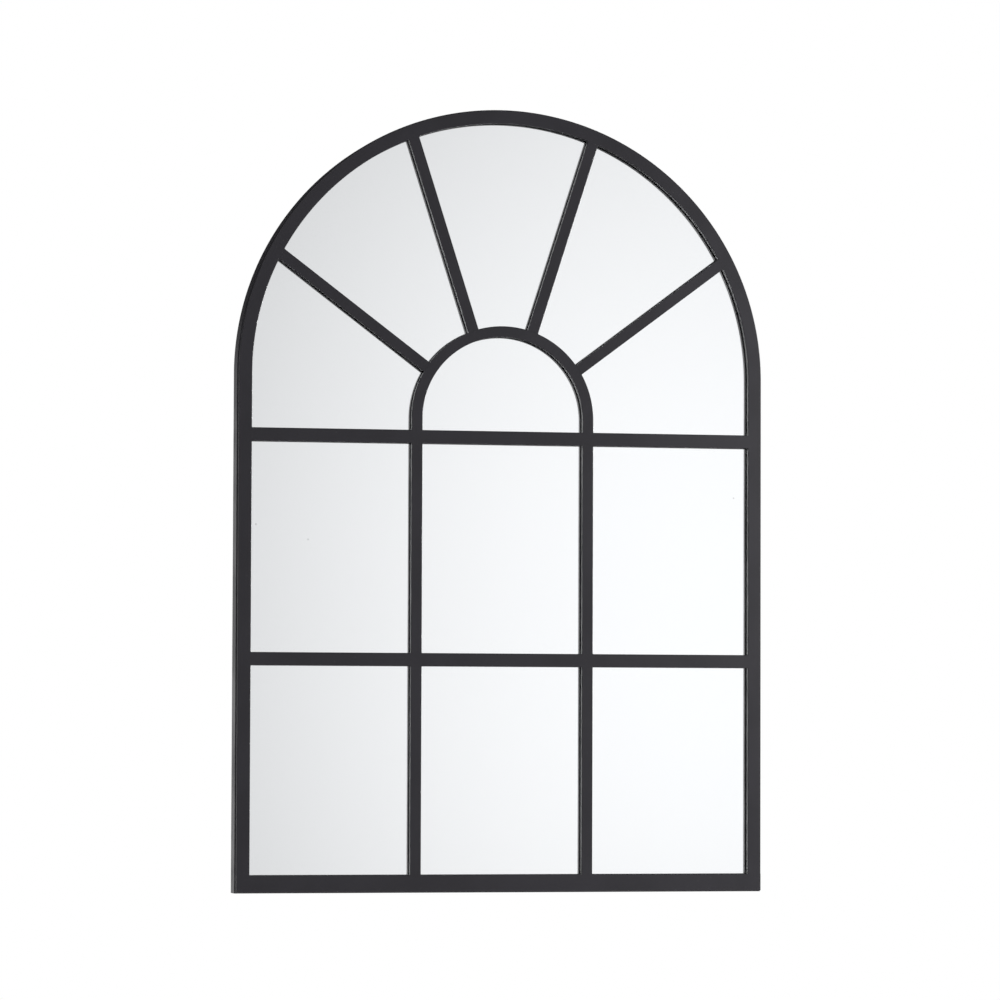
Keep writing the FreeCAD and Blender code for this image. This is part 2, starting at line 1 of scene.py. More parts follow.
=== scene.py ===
"""Arched window mirror: surfaces, finishes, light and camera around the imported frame.

Lengths are in metres and angles in degrees. The front faces -Y, +Z is up, and the wall plane is
y = 0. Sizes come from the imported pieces' boxes, so each surface lies where its piece lies.
"""
import logging
import math
from collections.abc import Callable, Sequence
from dataclasses import dataclass, field
from enum import Enum
from functools import reduce

import bpy
import numpy as np
from mathutils import Matrix, Vector


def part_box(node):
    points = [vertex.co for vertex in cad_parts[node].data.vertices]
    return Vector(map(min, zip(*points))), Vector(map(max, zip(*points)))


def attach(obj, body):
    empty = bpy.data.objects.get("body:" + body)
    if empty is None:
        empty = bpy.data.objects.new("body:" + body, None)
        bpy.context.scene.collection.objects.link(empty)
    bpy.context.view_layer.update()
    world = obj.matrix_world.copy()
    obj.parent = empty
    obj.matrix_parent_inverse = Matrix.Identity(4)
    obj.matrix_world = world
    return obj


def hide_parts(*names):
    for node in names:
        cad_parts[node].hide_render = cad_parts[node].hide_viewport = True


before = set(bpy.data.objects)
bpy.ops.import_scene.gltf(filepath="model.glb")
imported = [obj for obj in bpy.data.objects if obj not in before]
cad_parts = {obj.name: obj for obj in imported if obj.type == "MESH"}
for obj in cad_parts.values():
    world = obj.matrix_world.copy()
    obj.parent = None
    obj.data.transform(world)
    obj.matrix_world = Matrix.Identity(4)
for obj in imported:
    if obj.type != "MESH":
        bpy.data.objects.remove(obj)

Array = np.ndarray
Pair = tuple[float, float]
Point = tuple[float, float, float]
Colour = tuple[float, float, float]
Node = bpy.types.Node
Socket = bpy.types.NodeSocket
Thing = bpy.types.Object
Fed = Socket | float | Sequence[float]
# Turns arrays of s along a path, and v and w across it, into points; (s, v, w) is right-handed.
Placer = Callable[[Array, Array, Array], Array]

LOG = logging.getLogger("arched_mirror")
MM = 0.001
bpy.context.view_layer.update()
ROOT_BODY = "mirror"
SIDES = (("left", -1.0), ("right", 1.0))

# Least corner radius and spacing in a mesh, and the step over which slopes are taken.
LEAST = 0.02 * MM
NUDGE = 0.01 * MM

# Headings of straight bars: level puts +v downwards, and upright puts it towards +X.
LEVEL = 0.0
UPRIGHT = 90.0

# The fanlight, as the solids have it: directions of the spokes, anticlockwise from +X, and how far
# the point that they run from lies below the hoop's centre.
FIRST_SPOKE = 36.75
SPOKE_STEP = 35.5
SPOKE_COUNT = 4
FAN_DROP = 8.7 * MM


# Node trees ---------------------------------------------------------------------------------

def tone(colour: Sequence[float], scale: float = 1.0) -> tuple[float, ...]:
    """Return an opaque colour, made lighter or darker by a factor."""
    return (*(scale * channel for channel in colour), 1.0)


class GroupName(Enum):
    """The shader groups that several finishes share."""

    PEEL = "fine_peel"
    CLOUD = "soft_cloud"
    SPECKS = "fine_specks"


class Tree:
    """A thin, typed layer over one shader node tree."""

    def __init__(self, tree: bpy.types.NodeTree) -> None:
        """Keep the node tree of a material, a world or a group."""
        self.tree = tree

    def put(self, fed: Fed, socket: Socket) -> None:
        """Feed an input socket.

        Args:
            fed: The output socket to link to it, or its own value.
            socket: The input socket.
        """
        if isinstance(fed, Socket):
            self.tree.links.new(fed, socket)
        else:
            socket.default_value = fed

    def add(self, kind: str, settings: dict[str, object] | None = None, **inputs: Fed) -> Node:
        """Add a node, set its properties and feed its inputs.

        Args:
            kind: The node's type without its ShaderNode prefix.
            settings: Properties of the node itself, such as its operation.
            **inputs: Input sockets by name, with underscores for spaces, or by number as in_0.

        Returns:
            The new node.
        """
        node = self.tree.nodes.new(f"ShaderNode{kind}")
        for name, setting in (settings or {}).items():
            setattr(node, name, setting)
        for name, fed in inputs.items():
            key = int(name[3:]) if name.startswith("in_") else name.replace("_", " ")
            self.put(fed, node.inputs[key])
        return node

    def math(self, operation: str, first: Fed, second: Fed) -> Socket:
        """Return the output of a Math node on two values."""
        return self.add("Math", {"operation": operation}, in_0=first, in_1=second).outputs[0]

    def times(self, first: Fed, second: Fed) -> Socket:
        """Return the product of two values."""
        return self.math("MULTIPLY", first, second)

    def span(self, value: Fed, source: Pair, target: Pair = (0.0, 1.0)) -> Socket:
        """Return a value carried smoothly from one span to another, and held at their ends."""
        return self.add("MapRange", {"interpolation_type": "SMOOTHSTEP"}, Value=value,
                        From_Min=source[0], From_Max=source[1], To_Min=target[0],
                        To_Max=target[1]).outputs["Result"]

    def blend(self, factor: Fed, first: Fed, second: Fed) -> Socket:
        """Return two colours mixed by a factor."""
        return self.add("Mix", {"data_type": "RGBA"}, in_0=factor, in_6=first,
                        in_7=second).outputs[2]

    def noise(self, place: Fed, scale: Fed, detail: float, roughness: float = 0.5) -> Socket:
        """Return the value of a noise."""
        return self.add("TexNoise", Vector=place, Scale=scale, Detail=detail,
                        Roughness=roughness).outputs["Fac"]


class Surface(Tree):
    """A new material: its tree, its Principled shader and its Object coordinates."""

    def __init__(self, name: str, **inputs: Fed) -> None:
        """Start the material.

        Args:
            name: The material's name.
            **inputs: What the shader's own sockets are set to.
        """
        self.material = bpy.data.materials.new(name)
        self.material.use_nodes = True
        self.material.node_tree.nodes.clear()
        super().__init__(self.material.node_tree)
        self.place = self.add("TexCoord").outputs["Object"]
        self.shader = self.add("BsdfPrincipled", **inputs)
        self.out = self.add("OutputMaterial", Surface=self.shader.outputs["BSDF"])

    def feed(self, **fed: Fed) -> None:
        """Feed the shader's inputs, named with underscores for spaces."""
        for name, value in fed.items():
            self.put(value, self.shader.inputs[name.replace("_", " ")])

    def group(self, name: GroupName, **values: float) -> Socket:
        """Place a shared group with its own values and return its output."""
        return self.add("Group", {"node_tree": bpy.data.node_groups[name.value]},
                        Vector=self.place, **values).outputs[0]

    def stretched(self, scale: Point) -> Socket:
        """Return the Object coordinates scaled along each axis."""
        return self.add("Mapping", Vector=self.place, Scale=scale).outputs[0]

    def bump(self, height: Socket, strength: float, distance: float) -> Socket:
        """Return the normal of a Bump node."""
        return self.add("Bump", Height=height, Strength=strength,
                        Distance=distance).outputs["Normal"]


def new_group(name: GroupName, output: str,
              **inputs: float) -> tuple[Tree, dict[str, Socket], Socket]:
    """Start a shader group with a Vector input, float inputs and one float output.

    Args:
        name: The group's name.
        output: Its output's name.
        **inputs: Its float inputs and their default values.

    Returns:
        The group's tree, its given values by name and the socket that its result feeds.
    """
    group = bpy.data.node_groups.new(name.value, "ShaderNodeTree")
    group.interface.new_socket("Vector", in_out="INPUT", socket_type="NodeSocketVector")
    for label, default in inputs.items():
        socket = group.interface.new_socket(label, in_out="INPUT", socket_type="NodeSocketFloat")
        socket.default_value = default
    group.interface.new_socket(output, in_out="OUTPUT", socket_type="NodeSocketFloat")
    given = {socket.name: socket for socket in group.nodes.new("NodeGroupInput").outputs}
    return Tree(group), given, group.nodes.new("NodeGroupOutput").inputs[output]


def build_groups() -> None:
    """Build the shared effects: a fine surface peel, a soft cloud and scattered specks."""
    # Peel: a fine noise and a coarser, higher one, as a sprayed and baked coat has.
    coarse_scale, coarse_height = 0.3, 1.4
    tree, given, height = new_group(GroupName.PEEL, "Height", Size=900.0)
    fine = tree.noise(given["Vector"], given["Size"], 2.0)
    coarse = tree.noise(given["Vector"], tree.times(given["Size"], coarse_scale), 1.0)
    tree.put(tree.math("ADD", fine, tree.times(coarse, coarse_height)), height)

    # Cloud: a wide, soft mottle between 0 and 1.
    tree, given, mask = new_group(GroupName.CLOUD, "Mask", Size=12.0)
    wide = tree.noise(given["Vector"], given["Size"], 4.0, 0.6)
    tree.put(tree.span(wide, (0.3, 0.7)), mask)

    # Specks: small round dots in the middle of one cell in five of a cell pattern.
    left_out = 0.8
    tree, given, mask = new_group(GroupName.SPECKS, "Mask", Size=60.0, Radius=0.05)
    cells = tree.add("TexVoronoi", Vector=given["Vector"], Scale=given["Size"]).outputs
    dot = tree.math("LESS_THAN", cells["Distance"], given["Radius"])
    pick = tree.add("SeparateColor", Color=cells["Color"]).outputs[0]
    tree.put(tree.times(dot, tree.math("GREATER_THAN", pick, left_out)), mask)


# Finishes -----------------------------------------------------------------------------------

@dataclass(frozen=True)
class Finish:
    """A surface finish: what is the same all over, and the slot it belongs to.

    Attributes:
        slot: The record's material slot; not used.
        name: The material's name.
        base: Base colour.
        roughness: Mean roughness.
        metallic: 1 for bare metal.
    """

    slot: str
    name: str
    base: Colour
    roughness: float
    metallic: float = 0.0

    def material(self) -> bpy.types.Material:
        """Find the finished material, or build it on first use.

        Returns:
            The material.
        """
        known = bpy.data.materials.get(self.name)
        if known:
            return known
        made = Surface(self.name, Metallic=self.metallic, Roughness=self.roughness,
                       Base_Color=tone(self.base))
        self.dress(made)
        return made.material

    def dress(self, made: Surface) -> None:
        """Add what varies over the surface; each kind of finish has its own."""
        raise NotImplementedError

    def roughened(self, made: Surface, value: Socket, source: Pair, spread: Pair) -> Socket:
        """Return the roughness, moved by a spread as a value goes over its span."""
        return made.span(value, source, (self.roughness + spread[0], self.roughness + spread[1]))

    def paint(self, thing: Thing) -> None:
        """Give an object this finish in its material slots.

        Args:
            thing: The object; a slot is added where it has none.
        """
        if not thing.material_slots:
            thing.data.materials.append(self.material())
        for slot in thing.material_slots:
            slot.link = "OBJECT"
            slot.material = self.material()


@dataclass(frozen=True)
class PowderCoat(Finish):
    """Baked satin coat with a fine peel, thinner and glossier along the rounded edges, which are
    also lighter from a painted highlight together with rubbed wear.

    Attributes:
        edge_highlight_and_wear: Colour of the rounded edges: a painted highlight along them,
            together with rubbed wear.
        dust: Colour of the dust specks.
        dust_share: How much of that colour a speck takes.
        darkest: The mottle's darkest shade, as a part of the base.
        edge_gloss: How much smoother a rubbed edge is.
        peel_depth: Height of the peel.
    """

    edge_highlight_and_wear: Colour = (0.034, 0.032, 0.036)
    dust: Colour = (0.2, 0.19, 0.19)
    dust_share: float = 0.35
    darkest: float = 0.8
    edge_gloss: float = 0.08
    peel_depth: float = 0.06 * MM

    def dress(self, made: Surface) -> None:
        """Vary the colour and gloss a little, lighten the edges with a painted highlight and wear,
        and add the peel.

        Args:
            made: The material.
        """
        cloud = made.group(GroupName.CLOUD, Size=14.0)
        colour = made.blend(cloud, tone(self.base, self.darkest), tone(self.base))
        # Painted highlight with wear: the middles of the rounded edges take a lighter colour,
        # broken up by a noise.
        edge = made.add("Attribute", {"attribute_name": "edge"}).outputs["Fac"]
        edge_breakup = made.noise(made.place, 110.0, 3.0)
        highlight_and_wear = made.times(edge, made.span(edge_breakup, (0.35, 0.75), (0.15, 1.0)))
        colour = made.blend(highlight_and_wear, colour, tone(self.edge_highlight_and_wear))
        dust = made.group(GroupName.SPECKS, Size=130.0, Radius=0.05)
        colour = made.blend(made.times(dust, self.dust_share), colour, tone(self.dust))
        rough = self.roughened(made, cloud, (0.0, 1.0), (-0.04, 0.05))
        rough = made.math("SUBTRACT", rough, made.times(highlight_and_wear, self.edge_gloss))
        peel = made.group(GroupName.PEEL, Size=850.0)
        made.feed(Base_Color=colour, Roughness=rough,
                  Normal=made.bump(peel, 0.22, self.peel_depth))


@dataclass(frozen=True)
class ClearGlass(Finish):
    """Polished float glass with a faint green body.

    Attributes:
        ior: Its index of refraction.
        smear: Roughness where it is smeared.
    """

    ior: float = 1.52
    smear: float = 0.004

    def dress(self, made: Surface) -> None:
        """Make the body clear and put a barely rough smear here and there.

        Args:
            made: The material.
        """
        cloud = made.group(GroupName.CLOUD, Size=5.0)
        made.feed(Transmission_Weight=1.0, IOR=self.ior,
                  Roughness=made.span(cloud, (0.6, 1.0), (0.0, self.smear)))


@dataclass(frozen=True)
class Silvering(Finish):
    """The silver layer behind the glass, with a few pin-point specks.

    Attributes:
        speck: Colour of a speck.
        speck_share: How much of that colour it takes.
    """

    speck: Colour = (0.35, 0.35, 0.36)
    speck_share: float = 0.3

    def dress(self, made: Surface) -> None:
        """Darken a few specks and keep the rest an even mirror.

        Args:
            made: The material.
        """
        specks = made.group(GroupName.SPECKS, Size=18.0, Radius=0.02)
        made.feed(Base_Color=made.blend(made.times(specks, self.speck_share), tone(self.base),
                                        tone(self.speck)))


@dataclass(frozen=True)
class Fibreboard(Finish):
    """Pressed wood fibre: a tan body with short fibres and darker flecks.

    Attributes:
        dark: Shade between the fibres, as a part of the base.
        pale: Shade that the press leaves here and there.
        pale_share: How much of that shade shows.
        fleck: Shade of the flecks.
        fleck_share: How much of that shade a fleck takes.
        relief: Height of the fibres.
    """

    dark: float = 0.55
    pale: float = 1.2
    pale_share: float = 0.16
    fleck: float = 0.3
    fleck_share: float = 0.5
    relief: float = 0.15 * MM

    def dress(self, made: Surface) -> None:
        """Mix fibres of several lengths and a soft unevenness from the press.

        Args:
            made: The material.
        """
        up = made.noise(made.stretched((1.0, 1.0, 0.22)), 900.0, 6.0, 0.75)
        across = made.noise(made.stretched((0.25, 1.0, 1.0)), 700.0, 5.0, 0.7)
        fibres = made.times(made.math("ADD", up, across), 0.5)
        cloud = made.group(GroupName.CLOUD, Size=7.0)
        colour = made.blend(made.span(fibres, (0.36, 0.62)), tone(self.base, self.dark),
                            tone(self.base))
        colour = made.blend(made.span(cloud, (0.0, 1.0), (0.0, self.pale_share)), colour,
                            tone(self.base, self.pale))
        flecks = made.group(GroupName.SPECKS, Size=260.0, Radius=0.16)
        colour = made.blend(made.times(flecks, self.fleck_share), colour,
                            tone(self.base, self.fleck))
        made.feed(Base_Color=colour,
                  Roughness=self.roughened(made, fibres, (0.3, 0.7), (-0.06, 0.1)),
                  Normal=made.bump(fibres, 0.3, self.relief))


@dataclass(frozen=True)
class ZincPlate(Finish):
    """Bright zinc on stamped steel, with a faint mottle and fine drag lines.

    Attributes:
        darkest: The mottle's darkest shade, as a part of the base.
        relief: Height of the drag lines.
    """

    darkest: float = 0.82
    relief: float = 0.04 * MM

    def dress(self, made: Surface) -> None:
        """Mottle the plating and draw fine lines along the strip.

        Args:
            made: The material.
        """
        mottle = made.group(GroupName.CLOUD, Size=160.0)
        drag = made.noise(made.stretched((1.0, 1.0, 0.08)), 2400.0, 3.0)
        made.feed(Base_Color=made.blend(mottle, tone(self.base, self.darkest), tone(self.base)),
                  Roughness=self.roughened(made, drag, (0.3, 0.7), (-0.08, 0.1)),
                  Normal=made.bump(drag, 0.15, self.relief))


@dataclass(frozen=True)
class SoftSheet(Finish):
    """Foam or tape: an even colour with a cellular face, with painted shade in the cells' hollows.

    Attributes:
        cells: Scale of the cells.
        hollow_shade: Painted shade in a cell's hollow middle, as a part of the base.
        relief: Depth of a cell.
    """

    cells: float = 1500.0
    hollow_shade: float = 0.75
    relief: float = 0.2 * MM

    def dress(self, made: Surface) -> None:
        """Dimple the face with small cells, their hollow middles darkened as painted shade.

        Args:
            made: The material.
        """
        cells = made.add("TexVoronoi", Vector=made.place, Scale=self.cells).outputs["Distance"]
        # Painted shade: each cell is darkest in its middle, where its dimple is deepest.
        colour = made.blend(made.span(cells, (0.0, 0.8)), tone(self.base, self.hollow_shade),
                            tone(self.base))
        made.feed(Base_Color=colour, Normal=made.bump(cells, 0.3, self.relief))


COAT = PowderCoat("black_powder_coat", "satin_black_coat", (0.0105, 0.0088, 0.015), 0.4)
GLASS = ClearGlass("mirror_glass", "clear_float_glass", (0.99, 0.994, 0.993), 0.0)
SILVER = Silvering("mirror_glass", "silver_backing", (0.94, 0.95, 0.966), 0.0, 1.0)
BOARD = Fibreboard("fibreboard", "pressed_fibreboard", (0.36, 0.22, 0.12), 0.72)
ZINC = ZincPlate("zinc_plate", "bright_zinc", (0.66, 0.67, 0.68), 0.34, 1.0)
TAPE = SoftSheet("mounting_tape", "black_foam_tape", (0.055, 0.055, 0.058), 0.8)
FOAM = SoftSheet("packing_foam", "white_packing_foam", (0.78, 0.78, 0.76), 0.85, cells=700.0)


# Surfaces -----------------------------------------------------------------------------------

def unit(angle: Array) -> Array:
    """Return a row (cos a, sin a) for each angle."""
    return np.stack([np.cos(angle), np.sin(angle)], axis=1)


def spread(length: float, step: float) -> Array:
    """Return even stations from 0 to a length, no further apart than a step."""
    return np.linspace(0.0, length, max(2, int(math.ceil(length / step)) + 1))


@dataclass
class Section:
    """The outline of a flat bar across its length, with rounded corners.

    Attributes:
        half_width: Half the width at each station.
        half_thickness: Half the thickness.
        round_plus: Corner radius on the +v side at each station.
        round_minus: Corner radius on the -v side at each station.
        steps: Segments in each quarter-round.
    """

    half_width: Array
    half_thickness: float
    round_plus: Array
    round_minus: Array
    steps: int = 4

    def points(self) -> tuple[Array, Array, Array]:
        """Work out the outline at every station.

        Each corner is a quarter circle about a centre that lies one corner radius in from both
        faces: point = centre + radius * (cos a, sin a), and (cos a, sin a) is its normal.

        Returns:
            Offsets (stations, points, 2) as v and w, normals (points, 2), and an edge mask
            (points,) that is 1 in the middle of each corner.
        """
        quarter = np.linspace(0.0, 90.0, self.steps + 1)
        corners = ((1, 1, 0.0), (-1, 1, 90.0), (-1, -1, 180.0), (1, -1, 270.0))
        offsets, normals, masks = [], [], []
        for side, face, start in corners:
            radius = np.maximum(self.round_plus if side > 0 else self.round_minus, LEAST)
            turn = unit(np.radians(start + quarter))
            middle = np.stack([side * (self.half_width - radius),
                               face * (self.half_thickness - radius)], axis=1)
            offsets.append(middle[:, None, :] + radius[:, None, None] * turn[None, :, :])
            normals.append(turn)
            masks.append(np.sin(np.radians(2.0 * quarter)))
        return np.concatenate(offsets, axis=1), np.concatenate(normals), np.concatenate(masks)


def link_mesh(name: str, vertices: Array, faces: list, normals: Array | None = None,
              edge_mask: Array | None = None) -> Thing:
    """Make an object from arrays, with optional normals per face corner.

    Args:
        name: The object's name.
        vertices: Points, one row each.
        faces: Vertex numbers of each face, anticlockwise seen from outside.
        normals: One normal for each face corner, in the order of the faces.
        edge_mask: A value for each vertex that the coat's painted edge highlight and wear read.

    Returns:
        The linked object.
    """
    mesh = bpy.data.meshes.new(name)
    mesh.from_pydata(vertices.tolist(), [], faces)
    mesh.polygons.foreach_set("use_smooth", np.ones(len(faces), dtype=bool))
    if edge_mask is not None:
        mesh.attributes.new("edge", "FLOAT", "POINT").data.foreach_set(
            "value", edge_mask.astype(np.float32))
    mesh.update()
    if normals is not None:
        mesh.normals_split_custom_set(normals.tolist())
    thing = bpy.data.objects.new(name, mesh)
    bpy.context.scene.collection.objects.link(thing)
    return thing


def carry(name: str, stations: Array, section: Section, place: Placer) -> Thing:
    """Carry a section along a path and close both ends.

    The surface is place(s, v, w): s runs along the path, v and w across it. Normals come from
    the section's own, turned by the place function's change in v and w, so flats stay flat.

    Args:
        name: The object's name.
        stations: Values of s.
        section: The outline across the path.
        place: Gives the points.

    Returns:
        The linked object.
    """
    offsets, turns, mask = section.points()
    rows, columns = offsets.shape[:2]
    s = np.repeat(stations[:, None], columns, axis=1)
    v, w = offsets[..., 0], offsets[..., 1]
    points = place(s, v, w)
    along_v = place(s, v + NUDGE, w) - points
    along_w = place(s, v, w + NUDGE) - points
    normals = turns[None, :, 0:1] * along_v + turns[None, :, 1:2] * along_w
    normals /= np.linalg.norm(normals, axis=-1, keepdims=True)
    grid = np.arange(rows * columns).reshape(rows, columns)
    ahead = np.roll(grid, -1, axis=1)
    quads = np.stack([grid[:-1], ahead[:-1], ahead[1:], grid[1:]], axis=-1).reshape(-1, 4)
    run = points[1:].mean(axis=1) - points[:-1].mean(axis=1)
    run /= np.linalg.norm(run, axis=1, keepdims=True)
    corner_normals = np.concatenate([normals.reshape(-1, 3)[quads.reshape(-1)],
                                     np.repeat(-run[:1], columns, axis=0),
                                     np.repeat(run[-1:], columns, axis=0)])
    faces = [*quads.tolist(), grid[0][::-1].tolist(), grid[-1].tolist()]
    return link_mesh(name, points.reshape(-1, 3), faces, corner_normals, np.tile(mask, rows))


@dataclass(frozen=True)
class Joint:
    """A welded joint on one side of a bar: where it is along the bar and half its width."""

    at: float
    half: float


@dataclass
class EdgeRounding:
    """Corner rounding that dies away where another bar is welded on and ground flush.

    Attributes:
        radius: The free radius.
        fade: Length over which it dies away beside a joint.
        fade_points: Stations in that length.
        slack: How far past a bar's end a station may lie through rounding of numbers.
    """

    radius: float = 0.7 * MM
    fade: float = 1.6 * MM
    fade_points: int = 6
    slack: float = 1e-9

    def radii(self, stations: Array, joints: Sequence[Joint]) -> Array:
        """Work out the radius at each station.

        The radius is the free one times a smooth step, t^2 (3 - 2 t), of the distance from each
        joint's edge.

        Args:
            stations: Places along the bar.
            joints: Joints on this side.

        Returns:
            The radius at each station.
        """
        free = np.ones_like(stations)
        for joint in joints:
            t = np.clip((np.abs(stations - joint.at) - joint.half) / self.fade, 0.0, 1.0)
            free *= t * t * (3.0 - 2.0 * t)
        return self.radius * free

    def stations(self, length: float, joints: Sequence[Joint], step: float) -> Array:
        """Choose stations: an even spread, with more of them beside each joint.

        Args:
            length: Length of the bar.
            joints: Joints on either side.
            step: Greatest distance between stations.

        Returns:
            Sorted places without near repeats.
        """
        fading = np.linspace(0.0, 1.0, self.fade_points) * self.fade
        extra = [joint.at + side * (joint.half + fading) for joint in joints
                 for side in (-1.0, 1.0)]
        places = np.sort(np.concatenate([spread(length, step), *extra]))
        places = places[(places > -self.slack) & (places < length + self.slack)]
        places = places[np.concatenate([[True], np.diff(places) > LEAST])]
        places[-1] = length
        return places


def straight(start: Pair, heading: float, depth: float) -> Placer:
    """Return a placer for a straight bar in an upright plane.

    A point is start + s * (cos h, sin h) + v * (sin h, -cos h) in (x, z), at y = depth + w.

    Args:
        start: x and z where s = 0.
        heading: Direction of s, anticlockwise from +X seen from the front.
        depth: y of the bar's middle.

    Returns:
        The placer.
    """
    cos, sin = math.cos(math.radians(heading)), math.sin(math.radians(heading))

    def place(s: Array, v: Array, w: Array) -> Array:
        """Return points for the bar's own coordinates."""
        return np.stack([start[0] + s * cos + v * sin, depth + w,
                         start[1] + s * sin - v * cos], axis=-1)
    return place


def bent(centre: Pair, radius: float, depth: float) -> Placer:
    """Return a placer for a bar bent to a circle in an upright plane.

    s is the length of arc along the bar's middle, from the +X side over the top, so its angle is
    a = s / radius, and a point is centre + (radius + v) * (cos a, sin a) in (x, z).

    Args:
        centre: x and z of the circle's centre.
        radius: Radius of the bar's middle line.
        depth: y of the bar's middle.

    Returns:
        The placer.
    """
    def place(s: Array, v: Array, w: Array) -> Array:
        """Return points for the bar's own coordinates."""
        return np.stack([centre[0] + (radius + v) * np.cos(s / radius), depth + w,
                         centre[1] + (radius + v) * np.sin(s / radius)], axis=-1)
    return place


@dataclass
class StripPath:
    """The middle line of a bent strip, in a plane: its points and their normals."""

    points: Array
    normals: Array

    def run(self) -> Array:
        """Return the length along the line at each point, as the sum of its chords."""
        steps = np.diff(self.points, axis=0)
        return np.concatenate([[0.0], np.cumsum(np.hypot(steps[:, 0], steps[:, 1]))])


def bent_strip(name: str, path: StripPath, half_width: Array, half_thickness: float,
               rounding: float, seat: Placer) -> Thing:
    """Make a strip of flat stock bent along a path, such as a tab or a hanger's strap.

    A point of the strip is path + w * normal in the path's plane, and v across the strip.

    Args:
        name: The object's name.
        path: The strip's middle line.
        half_width: Half the strip's width at each point of the path.
        half_thickness: Half its thickness.
        rounding: Corner radius of its edges.
        seat: Turns the path's two coordinates and v into points in space.

    Returns:
        The linked object.
    """
    radii = np.full(len(half_width), rounding)

    def place(s: Array, v: Array, w: Array) -> Array:
        """Place the strip's own coordinates.

        Args:
            s: Numbers of the path's points.
            v: Offsets across the strip.
            w: Offsets along the path's normals.

        Returns:
            The points.
        """
        index = np.rint(s).astype(int)
        at = path.points[index] + w[..., None] * path.normals[index]
        return seat(at[..., 0], at[..., 1], v)
    return carry(name, np.arange(len(half_width), dtype=float),
                 Section(half_width, half_thickness, radii, radii, steps=3), place)


def rounded_end(distance: Array, half_width: float, radius: float) -> Array:
    """Return the half width of a strip near an end with rounded corners.

    Within one radius of the end the side follows a quarter circle:
    half width - radius + sqrt(radius^2 - (radius - distance)^2).
    """
    short = np.clip(radius - distance, 0.0, radius)
    return half_width - radius + np.sqrt(np.maximum(radius ** 2 - short ** 2, 0.0))


def finish_piece(thing: Thing, finish: Finish, body: str, *nodes: str) -> None:
    """Dress a new piece, hide the nodes it stands for and let it ride on its body.

    Args:
        thing: The piece.
        finish: Its finish.
        body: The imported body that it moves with.
        *nodes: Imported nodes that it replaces.
    """
    finish.paint(thing)
    if nodes:
        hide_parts(*nodes)
    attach(thing, body)
    LOG.info("%s: %d faces on %s", thing.name, len(thing.data.polygons), body)


# Sub-assemblies -----------------------------------------------------------------------------

